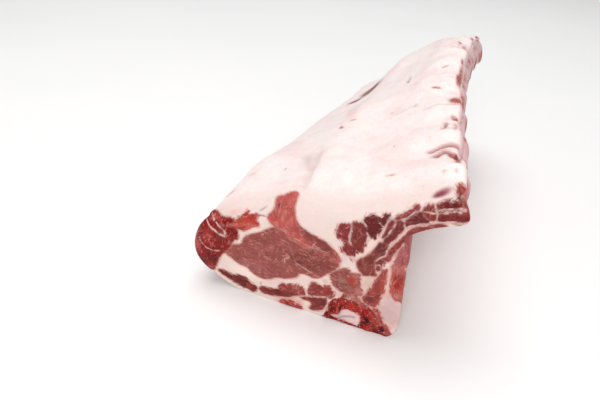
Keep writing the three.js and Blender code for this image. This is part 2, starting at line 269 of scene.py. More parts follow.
# ---------------------------------------------------------------- what the cut face shows
# Each muscle: its colour, how far it swells out of the cut, how frayed its edge is, and its outline.
MUSCLES = {
    "eye": ((168, 86, 80), 0.7, 0.35, [
        (-54, 25.7), (-50.7, 31), (-49.7, 33), (-44.7, 34.7), (-43, 37), (-41.3, 41), (-37.3, 44.3),
        (-30.7, 47.7), (-26.7, 51), (-23.3, 53.3), (-20, 53.7), (-16.7, 52.5), (-13.3, 48.7), (-8, 47.4),
        (-4.7, 45.5), (2, 46.4), (8, 45.3), (13, 43.6), (16.6, 41), (16, 39), (12, 34.3), (9.3, 31.7),
        (6, 28.3), (2, 27), (-3.3, 27.7), (-6, 27), (-8.7, 23.7), (-12, 21.7), (-16, 20.3), (-20, 19.7),
        (-24.7, 17), (-29.3, 15.3), (-34, 15.7), (-37.3, 17.7), (-40, 20.3), (-45.3, 21), (-50, 23.7)]),
    "strap": ((207, 97, 91), 0.5, 0.35, [
        (-22, 54.7), (-26.3, 58.3), (-25.3, 61.3), (-22.5, 65), (-21.3, 69.3), (-20.7, 72.3), (-15, 75.5),
        (-11, 78.3), (-9, 78), (-9.7, 75), (-10.7, 71.7), (-10.7, 67), (-10, 63.7), (-8, 59.7),
        (-5.3, 57.7), (-0.7, 55.7), (4, 54.3), (8.7, 52.7), (12.7, 49.7), (15.3, 47.3), (17.3, 43.7),
        (16, 42.3), (8, 46), (2, 47.4), (-4.7, 46.4), (-8, 48.2), (-13.3, 49.7), (-16.7, 53.3)]),
    "dorsal": ((148, 14, 14), 1.9, 0.5, [
        (-59.6, 54.5), (-57.6, 53), (-54.4, 51.2), (-51, 52), (-48, 51.6), (-48.6, 48.6), (-47, 46.4),
        (-45.6, 43.4), (-46, 39), (-48, 37.4), (-50.3, 34.6), (-51.2, 31.4), (-55, 26.6), (-58.6, 23),
        (-60.2, 19.6), (-61.8, 15.6), (-63.4, 12.6), (-65, 9.5), (-71, 12), (-76, 17), (-78, 24), (-78, 30),
        (-74.5, 40), (-70, 48), (-65, 53.5), (-61.5, 56)]),
    "cap_strip": ((203, 70, 58), 0.6, 0.8, [
        (-50.6, 47.4), (-49, 49.6), (-46.4, 51.2), (-44.8, 53.8), (-42, 55.6), (-40.2, 58), (-38.5, 59.8),
        (-37.8, 58), (-35.4, 58.2), (-32, 59.4), (-33.6, 56.8), (-33.2, 53.6), (-32.4, 51.4), (-35.6, 50.6),
        (-38.6, 48.2), (-41.8, 45.8), (-44.6, 46.2), (-47.6, 46)]),
    "foot_strip": ((124, 38, 36), 0.8, 0.8, [
        (-60.4, 10.4), (-57, 10.6), (-54, 9.9), (-51, 9.4), (-48, 10.4), (-44, 10.9), (-41, 10.5),
        (-39.4, 8.6), (-37.2, 7.4), (-35.4, 6.6), (-34.6, 4.6), (-36.4, 2.6), (-41, 3.2), (-46, 4.4),
        (-51, 5.9), (-56, 7.7)]),
    "under_strip": ((130, 44, 38), 0.6, 0.7, [
        (-31.8, 4.8), (-30.4, 7.1), (-26, 8), (-21, 9.2), (-17, 10.7), (-12, 11.3), (-8, 10.6),
        (-10.4, 8.3), (-16, 6.3), (-23, 4.6), (-28, 3.9)]),
    "under_lump_a": ((160, 66, 62), 0.7, 0.9, [
        (-18.2, 10.2), (-18, 13.8), (-16, 15), (-13.6, 14.1), (-12.3, 16.2), (-10.3, 16.3), (-9.3, 14.2),
        (-9.6, 11.6), (-12, 10.6), (-15, 10.4)]),
    "under_lump_b": ((168, 72, 70), 0.7, 0.9, [
        (-9, 14.4), (-7.6, 17.2), (-5, 17.1), (-3.3, 15.4), (-2.8, 12.8), (-4.6, 10.6), (-8, 9.8),
        (-9.6, 11.6)]),
    "side_lump": ((158, 60, 56), 0.9, 0.9, [
        (0.3, 13.8), (0.6, 18), (1.3, 21), (3, 23.3), (5.2, 23), (7.4, 21.7), (9.6, 22.4), (11.5, 24.1),
        (13.3, 22.6), (14.5, 19.6), (13.7, 16.6), (10, 15.5), (5, 14.3)]),
    "under_right": ((142, 52, 48), 0.7, 0.6, [
        (-3.6, 8.8), (0, 10.9), (5, 13), (9.4, 14.3), (11, 12.7), (10.3, 8.8), (8.5, 5.6), (5.2, 3.6),
        (1.6, 3.2), (2.8, 6), (2, 8.2), (-0.8, 8.9)]),
    "rib_lump_a": ((148, 46, 52), 1.2, 1.2, [
        (13.9, 63), (15, 65.8), (17.2, 67.4), (19.2, 68.5), (20.5, 68.2), (20.7, 64.6), (20.7, 61),
        (20.5, 57.6), (18.8, 56.8), (16.4, 57.6), (14.6, 58.8), (13.8, 60.6)]),
    "rib_lump_b": ((136, 50, 47), 1.2, 1.2, [
        (22.1, 67.6), (23.2, 70), (25.4, 70.8), (27.4, 69.6), (29.4, 69.4), (30.4, 66.4), (30.2, 63),
        (30, 60.4), (28.8, 57.2), (28.6, 53.6), (25.8, 53.2), (24, 55.4), (22.3, 57.2), (21.8, 60),
        (22.2, 63.8)]),
    "rib_lump_c": ((112, 32, 34), 1.1, 1.2, [
        (27.6, 72.2), (28.6, 74.4), (30.2, 75.8), (32, 76.8), (33.8, 76), (35.6, 75.8), (37.2, 77.4),
        (39.4, 79.4), (39.4, 75.2), (38.2, 72.6), (36.6, 70.4), (35.5, 67.4), (34.6, 64.4), (32.3, 63.6),
        (30.6, 65), (29.6, 68.4), (28.8, 70.6)]),
    "rib_lump_d": ((142, 46, 50), 0.7, 1.4, [
        (17.4, 51.4), (18.6, 53.6), (18.8, 56.6), (20.8, 57.4), (22.6, 55.6), (24.6, 54.6), (25.6, 51.8),
        (24.6, 49.7), (22, 49.3), (19.4, 49.8)]),
    "tail": ((142, 62, 55), 0.5, 0.25, [
        (26.6, 43.6), (27, 47.4), (29.4, 49.8), (32, 52.6), (34, 55.6), (35.6, 58.8), (36.8, 61.6),
        (38.6, 62.6), (40.6, 61.6), (41.4, 60), (40.4, 57.4), (38, 55), (36.4, 52), (35.4, 49.4),
        (35.9, 46), (36.8, 42.4), (37.8, 40.8), (34, 39.6), (31, 38.6), (28.6, 40.6)]),
    "tail_fringe": ((140, 58, 56), 0.3, 1.2, [
        (36, 52), (38.2, 54.8), (40, 57), (41, 54), (40.6, 50.4), (39.4, 47.6), (39.2, 45.6), (37.2, 44.4),
        (36.2, 46.6), (35.8, 49.6)]),
    "rib_band_a": ((136, 52, 54), 0.8, 0.4, [
        (38, 65), (38.8, 69), (40, 72.6), (41, 76.2), (42.3, 76.4), (42.6, 73), (41.6, 70.2), (40, 67.4)]),
    "rib_band_b": ((126, 48, 50), 0.8, 0.4, [
        (38.9, 63.2), (40.2, 66.6), (42.4, 69.4), (43.3, 72.6), (43.8, 76.2), (45.2, 77.2), (46.8, 77),
        (47.8, 74.8), (47, 72.4), (45.2, 69.4), (43.8, 66), (42.2, 63.2), (40.4, 62.4)]),
    "rib_band_c": ((158, 66, 68), 0.6, 0.7, [
        (43.3, 77.6), (44.8, 79.6), (46.8, 81), (48.4, 82.8), (50, 84.8), (52.4, 87), (52, 84.8),
        (50.4, 82.6), (48.6, 80.6), (46.6, 79), (45, 77.8)]),
    "rib_band_d": ((122, 44, 46), 0.9, 0.5, [
        (48.1, 76), (48.8, 78.4), (50.8, 80.8), (52.8, 83.2), (54.4, 84.6), (55.6, 82.8), (57.6, 81.7),
        (59.2, 80.7), (56.6, 79.5), (53, 77.8), (50.4, 76.3), (49, 75)]),
    "end_lump_a": ((152, 56, 50), 1.0, 0.7, [
        (55.6, 85.4), (56.4, 87.8), (58.4, 89.2), (60.3, 88.6), (61.1, 86.2), (61.4, 83.4), (60, 82.1),
        (58, 83.2), (56.6, 84.2)]),
    "end_lump_b": ((126, 30, 38), 1.1, 0.6, [
        (60.3, 87.8), (61, 89.4), (63, 91.4), (65.4, 92.9), (68, 93.6), (70, 92.8), (71.4, 91.2),
        (69, 90.4), (66, 89.8), (63.8, 88.7), (62.2, 87)]),
    "end_lump_c": ((128, 38, 38), 1.1, 0.6, [
        (62.2, 83.6), (63, 85.4), (65.4, 86.6), (68, 87.6), (70.4, 88.4), (73, 88.2), (76.4, 88.4),
        (76.4, 86), (75, 84.8), (72, 84), (69, 83.7), (66, 83.3), (64, 82.8)]),
    "rib_end_strip": ((150, 62, 54), 0.4, 0.8, [
        (65.4, 104), (70, 104), (75, 99), (78, 92), (77.4, 88.6), (74, 89), (72.6, 91.4), (70.6, 94.4),
        (69.4, 97.4), (67.4, 100), (66, 102)]),
    "edge_strip": ((150, 58, 54), 0.4, 0.4, [
        (41, 51.6), (41.6, 56), (42.6, 59.6), (45, 62.8), (47.2, 65.6), (48.8, 68.8), (50.4, 72),
        (53, 74.8), (57, 77.4), (61, 79.2), (65, 81), (67, 80.4), (63, 77.9), (59, 75.4), (55.6, 72.8),
        (52.8, 70.2), (50.2, 67), (48, 63.6), (46, 60), (44.2, 56.4), (42.8, 52)]),
    "column": ((168, 68, 60), 0.7, 0.7, [
        (42.4, 46.4), (42.7, 43), (42.6, 38), (42.4, 33), (41.8, 28.4), (40.6, 24), (39.4, 20.4),
        (37.4, 19.3), (35.2, 20), (33, 20.8), (32.6, 23.4), (33.6, 26.8), (35.2, 30.2), (36.6, 34.6),
        (38.6, 39.2), (40.4, 44.2)]),
    "deep_muscle": ((160, 84, 78), 0.5, 0.9, [
        (12.6, 32.4), (15.4, 35.8), (19.4, 39.3), (22, 39.4), (23.4, 37), (26.4, 38), (28.6, 38.2),
        (29.2, 35), (29, 31.4), (30.6, 28), (30.2, 25), (27.4, 23.2), (23.6, 22.8), (18, 24.2),
        (14.4, 26.6), (13.2, 29.6)]),
    "chest_strip": ((198, 92, 82), 0.5, 0.7, [
        (45.4, 50), (48.4, 52), (50.8, 50), (53, 46), (54, 40), (54, 33), (53.4, 28.4), (49, 28.2),
        (47, 30.6), (46, 35), (45.8, 40), (45.4, 45)]),
    "chest_top": ((190, 104, 106), 0.3, 0.8, [
        (46.6, 58.6), (48.6, 62.6), (50.4, 66), (53.8, 62), (53.4, 53), (51, 51), (48, 51.4), (46, 50.6),
        (46.2, 55)]),
    "foot_muscle": ((184, 80, 74), 0.3, 1.2, [
        (38.4, 15.4), (40, 18), (42, 15), (43.8, 11.4), (45.8, 8), (48.6, 4.6), (49.6, 1.4), (47.2, 1.6),
        (44.8, 6), (42.4, 9.6), (40.2, 12.6)]),
    "foot_scraps": ((186, 66, 68), 0.4, 1.3, [
        (-18, 0.6), (-16, 2.6), (-12, 3.6), (-8, 3), (-5, 1.6), (-6, -0.6), (-12, -0.8)]),
}

# Whitish sheets between and in the muscles: half their thickness in mm and their course.
SHEETS = [
    (0.5, [(36.2, 64), (37.4, 69), (39, 74), (40.4, 78.4)]),
    (0.35, [(42.6, 77), (42.9, 73.4), (41.6, 70.4), (40.2, 67.6), (38.6, 65), (38, 62.8)]),
    (0.3, [(46.8, 78.4), (47.4, 76.4), (48, 74.6)]),
    (0.75, [(41.6, 59.6), (43, 63), (45.4, 67), (47.4, 71), (49, 74.4), (51.2, 76.4), (54.4, 77.9),
            (58, 79.6), (62, 81.6), (66, 82.9), (70, 83.8), (74.6, 85)]),
    (0.35, [(46, 78.4), (48.4, 80.6), (50.4, 82.8), (52, 85)]),
    (0.35, [(55.6, 85.6), (57.6, 86), (59.4, 86.4), (60.8, 87)]),
    (0.4, [(60, 89.8), (61.2, 88), (61.7, 85), (61.8, 82.4)]),
    (0.55, [(62.2, 87.4), (64.6, 89), (67.6, 90.2), (70.4, 90.6), (73, 90.6)]),
    (0.35, [(40.8, 58), (40.6, 55.4), (38.4, 53), (37, 51), (36, 50)]),
    (0.3, [(36.4, 45.6), (37, 47.6), (38.6, 47.8), (39.2, 46)]),
    (0.5, [(44.6, 50), (45.4, 55), (47, 60), (49.4, 65), (50.8, 67.4)]),
    (0.5, [(-59.6, 49), (-58, 46.4), (-55.6, 44.4), (-53.6, 42.8), (-53.2, 41)]),
    (0.5, [(-64.4, 46.4), (-63, 43.4), (-60.6, 41.4), (-57.4, 39.8), (-55, 39.1), (-52.6, 39.4)]),
    (0.5, [(-71.4, 33), (-70, 30.2), (-68, 28.4), (-66, 26.8), (-63, 26), (-60.6, 26.4), (-58.6, 27.6)]),
    (0.25, [(-61.4, 55), (-60.6, 51), (-60, 48)]),
    (0.5, [(-22, 3.6), (-14, 5.8), (-7, 9), (0, 12), (6, 14), (10.6, 15.4)]),
    (0.6, [(11.8, 15.6), (12.3, 11.7), (11.3, 6.6), (8.8, 3)]),
    (0.45, [(21.3, 69), (21.4, 64), (21.2, 59), (21.8, 56)]),
    (0.35, [(26.6, 72.4), (28.2, 71), (29.2, 69.6)]),
    (0.35, [(30.3, 61.6), (30.3, 64), (29.9, 66)]),
    (0.3, [(34.6, 74.4), (36.2, 73), (37.2, 71.4)]),
    (0.15, [(-22, 56.6), (-15, 52.4), (-9, 50.4), (-3, 47.8), (4, 47.6), (10, 46.4)]),
    (0.25, [(-8.4, 34.8), (-4, 32.4), (0, 30.8), (4, 29.6), (6.4, 28.8)]),
]

# Small soft marks on the lean: colour, how strong, where, its two half-widths and its turn in degrees.
LEAN_MARKS = [
    ((142, 64, 59), 0.8, (-1, 37.5), (13, 5.5), -10),
    ((180, 104, 102), 0.8, (-38, 21), (12, 4.5), 8),
    ((152, 72, 68), 0.5, (-24, 50), (7, 3), -20),
    ((190, 94, 84), 0.7, (5, 29.2), (5, 1.8), -8),
    ((118, 48, 48), 0.8, (-5.4, 33.6), (4.4, 0.8), -32),
    ((134, 60, 58), 0.6, (-9.6, 35.6), (3, 1.4), -20),
    ((142, 66, 63), 0.9, (3.5, 52.2), (14, 5), -28),
    ((146, 68, 62), 0.6, (8, 39), (7, 5), -20),
    ((148, 62, 66), 0.7, (-19.2, 68.6), (2.2, 2), 0),
    ((224, 142, 128), 0.7, (-15.6, 65.4), (0.9, 2), -10),
    ((224, 132, 122), 0.6, (-17, 60.8), (0.8, 2), -20),
    ((226, 138, 128), 0.7, (-19.4, 64.4), (0.6, 4.4), -12),
    ((222, 130, 120), 0.6, (-13.4, 60.4), (0.6, 3.6), -34),
    ((214, 84, 74), 0.5, (-22, 60), (3, 3), 0),
    ((112, 8, 10), 0.95, (-63, 20.5), (3.6, 5), 30),
    ((116, 14, 8), 0.8, (-70, 17), (4, 3.4), -35),
    ((200, 84, 84), 0.7, (-73, 28), (2.2, 6), 12),
    ((204, 128, 118), 0.75, (-72.6, 38), (1.6, 8), -18),
    ((182, 44, 40), 0.6, (-66, 36), (3, 6), -15),
    ((128, 46, 34), 0.85, (-56.6, 41.4), (3, 1.2), -14),
    ((112, 38, 30), 0.8, (-56, 37), (3.4, 1), -8),
    ((192, 76, 76), 0.8, (-57.6, 50.4), (3, 2.2), -30),
    ((214, 120, 110), 0.6, (-50, 47.6), (2.4, 1.2), 20),
    ((120, 26, 22), 0.9, (-48.2, 45), (1.2, 0.8), 0),
    ((110, 16, 18), 0.8, (-49.4, 37.2), (1.2, 0.7), 0),
    ((190, 84, 56), 0.9, (-43.4, 52.6), (2.6, 2.4), 30),
    ((196, 44, 40), 0.7, (-36.6, 56.6), (3, 2), 20),
    ((216, 118, 106), 0.8, (-35, 51.2), (2.4, 1), 10),
    ((216, 112, 96), 0.7, (-47.6, 48.6), (2.6, 1.2), 20),
    ((130, 44, 40), 0.8, (-43, 47), (3.4, 1), 20),
    ((88, 14, 22), 0.8, (-52, 8), (2.6, 1.4), 0),
    ((110, 36, 20), 0.7, (-44, 8.6), (2, 1.6), 0),
    ((178, 60, 58), 0.6, (-38, 6), (2.4, 1.6), -20),
    ((206, 110, 60), 0.95, (-32.4, 3.8), (1.8, 1.5), 0),
    ((200, 100, 92), 0.6, (-10, 13.6), (0.8, 2.6), 0),
    ((190, 62, 44), 0.9, (24.8, 32.8), (2, 3.2), 30),
    ((176, 92, 62), 0.8, (27.8, 32.6), (1.6, 1.4), 30),
    ((182, 134, 118), 0.8, (19.2, 31), (2.6, 2.2), 0),
    ((142, 62, 68), 0.7, (20.6, 37), (2.2, 2), 0),
    ((204, 112, 106), 0.8, (26.6, 36.6), (2.2, 1.4), 0),
    ((140, 60, 58), 0.7, (14, 32.6), (1.6, 1.8), 0),
    ((214, 140, 128), 0.7, (29, 27), (2, 3), 0),
    ((112, 52, 56), 0.8, (35.8, 23.6), (2.2, 3), -20),
    ((196, 86, 70), 0.6, (41.2, 36), (1, 6), 0),
    ((174, 44, 32), 1.0, (49, 40.2), (2.8, 5.6), -8),
    ((214, 130, 122), 0.8, (50.4, 31.4), (3, 2.2), 0),
    ((216, 134, 126), 0.7, (53.2, 38), (0.9, 8), 0),
    ((198, 114, 110), 0.85, (49, 49), (4, 3.4), 0),
    ((160, 60, 72), 0.8, (49.6, 54.6), (0.6, 3.4), 5),
    ((112, 80, 50), 0.5, (71.6, 94.6), (1.2, 1.6), 0),
    ((222, 140, 134), 0.8, (72.8, 91), (1.6, 0.8), 0),
    ((102, 40, 42), 0.8, (37.5, 59), (3.4, 3.4), 50),
    ((144, 72, 64), 0.6, (31, 42.6), (4, 3), 0),
    ((146, 24, 32), 0.9, (-12.8, 1.4), (2.4, 1.2), 0),
    ((228, 188, 174), 0.9, (-13.8, 35.8), (0.6, 2.2), -50),
    ((228, 188, 174), 0.8, (-15.4, 33.6), (0.5, 1.6), 10),
    ((208, 152, 140), 0.9, (1.6, 49.6), (1.6, 0.7), 60),
    ((208, 152, 140), 0.9, (4, 48.4), (2, 0.6), -10),
    ((192, 122, 112), 0.7, (10.4, 46), (1.4, 0.8), 40),
    ((222, 170, 165), 0.9, (15.4, 61.9), (2, 0.45), 4),
]
# The same for the fat. Among them are painted shade over the lobe at the chest's foot and a painted shadow
# line beside the strap's tip.
FAT_MARKS = [
    ((212, 148, 138), 0.85, (-12, 3.6), (10, 3.4), 12),
    ((230, 210, 192), 0.95, (-1, 6.4), (2.8, 2), -20),
    ((214, 150, 142), 0.8, (27, 21), (7, 3.6), 0),
    ((206, 130, 128), 0.8, (38.4, 16.6), (4, 3), -20),
    ((204, 176, 164), 0.9, (33.4, 34), (2.6, 6.4), -6),
    ((228, 198, 186), 0.7, (44.2, 37), (1.4, 9), 0),
    # Painted shade: the lobe at the chest's foot is darkened where shade falls.
    ((197, 168, 166), 0.9, (47.5, 19), (7, 12), 0),
    ((228, 172, 162), 0.7, (47.6, 8), (2, 4), -20),
    ((206, 192, 192), 0.5, (19, 46), (2, 4), 0),
    ((228, 208, 200), 0.7, (12, 60), (6, 10), 0),
    ((214, 200, 190), 0.5, (-56, 18), (5, 4), 0),
    ((240, 220, 212), 0.8, (-42, 15.5), (12, 4), -8),
    ((216, 188, 186), 0.5, (-22, 16), (8, 3), 18),
    ((224, 212, 192), 0.6, (-36, 12), (3, 2), 0),
    ((158, 92, 102), 1.0, (62, 95.9), (5.0, 1.6), 36),
    ((136, 58, 70), 1.0, (61, 95), (3.4, 0.9), 36),
    # Painted shadow: a thin grey line in the fat beside the strap's tip.
    ((160, 150, 154), 0.9, (-29, 64), (3.6, 0.5), 42),
    ((150, 90, 84), 1.0, (-30, 59.3), (3, 0.45), 0),
    ((228, 174, 170), 0.7, (-46, 57.4), (6, 1.4), 30),
    ((236, 206, 200), 0.6, (-42, 59), (6, 2), 20),
    ((216, 154, 152), 0.7, (-60.6, 53.6), (1.2, 3), 0),
    ((206, 172, 162), 0.7, (9.4, 27), (1.4, 2), -30),
    ((130, 70, 70), 0.8, (23, 46.6), (2, 0.6), -50),
    ((220, 140, 140), 0.6, (25, 47), (2, 1.4), -40),
    ((120, 72, 66), 0.8, (-31.2, 10.2), (1.8, 0.35), 62),
]

# The sawn backbone in the cut: its cartilage and its darker and brighter marrow, with two pale marks that are
# painted highlights.
BONE_OUTLINE = [(9.6, -1), (10.8, 4), (12, 8.6), (13.2, 13), (15.4, 16), (18.6, 18), (20.6, 21.4), (25, 23.4),
                (29.6, 22), (32, 19.4), (36, 17.8), (38.6, 15.4), (40.4, 12.4), (42.6, 9.6), (44.8, 7),
                (46.8, 4.6), (48.2, 1.8), (47.6, -1)]
CARTILAGE = [(20.4, 9.8), (24, 11.2), (28, 11), (31, 9.8), (32.3, 7), (32, 4), (30.4, 1.6), (26, 1.4),
             (20, 2.2), (14.5, 3.4), (17, 4.8), (19.4, 6.4)]
MARROW_MARKS = [
    ((244, 172, 158), 0.9, (26, 20.8), (6.5, 2.6), -8),
    ((232, 130, 120), 0.7, (33, 17.4), (3, 2), 0),
    # Painted highlight: a pale glint on the marrow.
    ((242, 192, 182), 0.8, (22.6, 18.6), (1.2, 0.8), 0),
    ((228, 64, 44), 0.9, (26, 14.6), (7, 1.8), -4),
    ((150, 0, 4), 0.9, (23.4, 14.8), (1.8, 1), 0),
    ((128, 8, 8), 0.9, (14.6, 8.6), (2.6, 5), 10),
    ((218, 92, 74), 0.8, (18.2, 9), (0.8, 4), 0),
    ((60, 0, 4), 1.0, (19.6, 9.8), (1, 2.2), 6),
    ((214, 44, 44), 0.8, (35, 10), (4.6, 3.4), -50),
    ((206, 90, 80), 0.8, (40, 6), (3.6, 4), -30),
    ((214, 120, 104), 0.7, (40.4, 12), (2, 2.4), -20),
    ((44, 0, 2), 1.1, (35.6, 8.4), (4.2, 1.5), -52),
    ((44, 0, 4), 1.1, (45, 3.8), (1.7, 1.9), 0),
    ((110, 10, 12), 0.8, (12.5, 3.6), (2, 2), 0),
    # Painted highlight: a second pale glint on the marrow.
    ((240, 190, 180), 0.9, (24.6, 19.4), (1.4, 0.6), 30),
    ((232, 150, 138), 0.8, (29.6, 18.2), (1.6, 0.8), -20),
    ((236, 166, 150), 0.9, (16.6, 14.4), (1.0, 0.8), 0),
    ((238, 186, 176), 0.9, (43, 8.6), (1.4, 0.6), -40),
    ((236, 170, 160), 0.9, (46.6, 2.4), (0.8, 1.4), 0),
    ((226, 120, 104), 0.8, (37.4, 13.2), (1.6, 0.9), -40),
]
GRISTLE_LINE = [(19.6, 3.2), (22, 5), (25, 6.4), (28.6, 7.2)]
# The fat of the cut face is painted darker than the fat on top, a little on its lip and more lower down:
# painted shade.
FAT_COLOUR, SHADED_LIP_FAT_COLOUR = (248, 234, 231), (231, 213, 208)
SHADED_CUT_FAT_COLOUR, BLOODY_FAT_COLOUR = (228, 206, 198), (212, 146, 138)
MARROW_COLOUR, MARROW_HOLE, MARROW_CRUMB = (182, 24, 20), (90, 6, 10), (232, 70, 56)
CARTILAGE_COLOUR, GRISTLE_COLOUR = (224, 194, 192), (150, 138, 144)
# Raw meat drinks light: how much darker its own colour is than the colour seen in a bright room.
LEAN_DEPTH, MARROW_DEPTH = 0.7, 0.62
# How far each muscle reaches past its outline, mm, and how much further where muscles lie close together
GROWTH, CLOSE_SET_GROWTH = 0.35, 0.4
# How far the colours of two muscles run together and how far from its edge a muscle is fully swollen, mm
COLOUR_BLEED, SWELL_REACH = 0.45, 1.6
# How frayed an edge is where nothing else is said, and the depth in a sheet where there is none, mm
FRAY, NO_SHEET = 0.8, -3.0


def mark_share(points, centre, half_widths, turn):
    """1 in the middle of a soft oval mark, falling to 0 outside it."""
    turn = math.radians(turn)
    off = points - np.array(centre)
    along = (off[:, 0] * math.cos(turn) + off[:, 1] * math.sin(turn)) / half_widths[0]
    aside = (off[:, 1] * math.cos(turn) - off[:, 0] * math.sin(turn)) / half_widths[1]
    return 1 - smooth(np.hypot(along, aside), 0.45, 1.35)


def with_marks(colour, points, marks, darkness=1.0, strength=1.0):
    """Lays soft oval marks over a colour."""
    for mark, share, *oval in marks:
        colour = mix(colour, srgb(*mark) * darkness, strength * share * mark_share(points, *oval)[:, None])
    return colour


def paint_muscles(points):
    """The depth in the nearest muscle, its fray and fibres, the colour of the lean and how far it swells."""
    count = len(points)
    x, z = points.T
    flesh, fray, fibre = np.full(count, -DEPTH_REACH), np.full(count, FRAY), points.copy()
    weight, tint, relief = np.zeros(count), np.zeros((count, 3)), np.zeros(count)
    close_set = np.maximum(smooth(x, 36, 42) * smooth(z, 56, 64), smooth(-z, -27, -22))
    for colour, swell, frayed, landmarks in MUSCLES.values():
        outline = curve_through(landmarks, 1.0, closed=True)[0]
        depth = depth_in(points, outline) + GROWTH + CLOSE_SET_GROWTH * close_set
        nearest = depth > np.maximum(flesh, -4)
        fray[nearest] = frayed
        fibre[nearest] = np.column_stack(along_and_aside(points[nearest], middle_line(outline)))
        flesh = np.maximum(flesh, depth)
        share = np.exp(np.clip(depth, -DEPTH_REACH, 1) / COLOUR_BLEED)
        weight += share
        tint += share[:, None] * srgb(*colour) * LEAN_DEPTH
        relief += swell * (1 - np.exp(-np.maximum(depth, 0) / SWELL_REACH))
    return flesh, fray, fibre, tint / np.maximum(weight, 1e-9)[:, None], relief


def sheet_depth(points):
    """How deep each point is in a whitish sheet, in mm."""
    x, z = points.T
    wander = 0.5 * np.column_stack([fine_lumps(x / 3.2, z / 3.2, 7), fine_lumps(x / 3.2, z / 3.2, 9)])
    uneven = 1 + 0.7 * fine_lumps(x / 2.4, z / 2.4, 3)
    sheet = np.full(len(points), NO_SHEET)
    for half, course in SHEETS:
        gap = nearest_on(curve_through(course, 1.0)[0], points + wander, closed=False)[0]
        sheet = np.maximum(sheet, half * uneven - gap)
    return sheet


def cut_fat_colour(points):
    """The fat in the cut: painted shade makes it darker than the fat on top, most of all low down and less
    near its top, with blood drawn into it round the backbone.
    """
    x, z = points.T
    # Painted shade: the cut's fat is lighter near its top and darker below it.
    less_shade_near_top = smooth(z - 0.35 * np.maximum(x, 0), 50, 66)[:, None]
    bloody = 0.75 * smooth(x, 6, 24) * smooth(-z, -56, -34) * smooth(soft_noise(5, x, z, 3), -0.5, 0.7)
    cream = mix(srgb(*SHADED_CUT_FAT_COLOUR), srgb(*SHADED_LIP_FAT_COLOUR), less_shade_near_top)
    return with_marks(mix(cream, srgb(*BLOODY_FAT_COLOUR), bloody[:, None]), points, FAT_MARKS)


def marrow_colour(points, crumbs):
    """The marrow, darker in its holes and brighter on its crumbs."""
    marrow = mix(srgb(*MARROW_COLOUR), srgb(*MARROW_HOLE), 0.8 * smooth(-crumbs, 0.15, 0.55)[:, None])
    marrow = mix(marrow, srgb(*MARROW_CRUMB), 0.6 * smooth(crumbs, 0.2, 0.6)[:, None])
    return with_marks(marrow, points, MARROW_MARKS, strength=0.9) * MARROW_DEPTH


def paint_cut(points):
    """What a cut face shows at points of the section: depths in lean, sheets and bone, colours, relief."""
    x, z = points.T
    flesh, fray, fibre, tint, relief = paint_muscles(points)
    sheet = sheet_depth(points)
    bone = depth_in(points, curve_through(BONE_OUTLINE, 1.0, closed=True)[0])
    gristle = depth_in(points, curve_through(CARTILAGE, 1.0, closed=True)[0])
    in_bone = smooth(bone, -0.3, 0.6)
    crumbs = 0.8 * fine_lumps(x / 1.5, z / 1.5, 0) + 0.5 * fine_lumps(x / 4, z / 4, 5)
    line = nearest_on(curve_through(GRISTLE_LINE, 1.0)[0], points, closed=False)[0]
    cartilage = mix(srgb(*CARTILAGE_COLOUR), srgb(*GRISTLE_COLOUR), 0.9 * bell(line, 0, 0.8)[:, None])
    tint = with_marks(tint, points, LEAN_MARKS, LEAN_DEPTH)
    tint = mix(tint, marrow_colour(points, crumbs), in_bone[:, None])
    cream = mix(cut_fat_colour(points), cartilage, in_bone[:, None])
    relief = relief * (1 - in_bone) + 0.25 * np.maximum(sheet, 0) + crumbs * in_bone * smooth(-gristle, -1, 1)
    flesh = np.where(bone > 0, np.minimum(bone + 0.6, -gristle), flesh)
    return dict(flesh=flesh, fray=mix(fray, 0.9, in_bone), sheet=sheet, bone=np.minimum(bone, -gristle),
                tint=tint, cream=cream, fibre=np.column_stack([fibre, np.zeros(len(points))]), relief=relief)


# ---------------------------------------------------------------- what the outside shows
# Folds and cuts in the fat near the ribs: half-width, depth, redness, and the course as (x, t). Each groove
# is painted darker: pale grey-pink painted shade where its redness is low, red meat where it is high.
FOLDS = [
    (0.8, 0.9, 0.85, [(53, 34.6), (56, 36.4), (60, 38.6), (64, 39.4), (68, 38.4)]),
    (1.0, 1.0, 1.0, [(56.4, 28), (57.6, 31), (60, 33.6), (62.4, 34), (64.4, 31.8), (65.6, 27.5), (67, 21)]),
    (0.7, 0.9, 0.7, [(58.8, 54), (60.3, 58), (60.2, 66)]),
    (0.6, 0.7, 0.8, [(64, 74), (66, 72.6), (68, 70)]),
    (0.7, 0.7, 0.1, [(17.6, 153), (18.8, 146), (20.6, 140)]),
    (1.7, 1.1, 0.03, [(-15.4, 48), (-13.4, 38), (-10.8, 28), (-10.4, 18), (-9, 9), (-9.8, 2)]),
    (1.4, 0.7, 0.0, [(-26, 48), (-20, 40), (-16.4, 32), (-12, 24)]),
    (0.6, 0.5, 0.1, [(44, 84), (54, 87), (62, 85), (68, 85.4)]),
    (0.6, 0.6, 0.5, [(65.4, 51), (66.2, 56), (65.6, 61)]),
    (0.7, 0.5, 0.0, [(24, 92), (32, 95), (38, 93)]),
    (0.6, 0.7, 0.3, [(50, 188), (58, 187), (66, 189)]),
    (0.6, 0.6, 0.2, [(56, 232), (62, 236), (70, 236)]),
]
# Broad swellings and hollows of the fat, mm: height, centre (x, t) and reach.
FAT_SWELLS = [(2.5, (-16, 226), (14, 30)), (-4.0, (-38, 182), (14, 28))]
# Long dips of the fat, mm: depth, x of the middle, reach, and the stretches of t where it starts and ends.
FAT_DIPS = [(3.0, 52, 17, (212, 250), (LENGTH, 2 * LENGTH)), (4.5, -46, 13, (185, 222), (232, 268))]
# The knob at the far end of the rib edge: the stretch of t where it rises, its height at the edge and on top
KNOB_RISE, KNOB_AT_EDGE, KNOB_ON_TOP = (256, 274), 4.5, 2.0

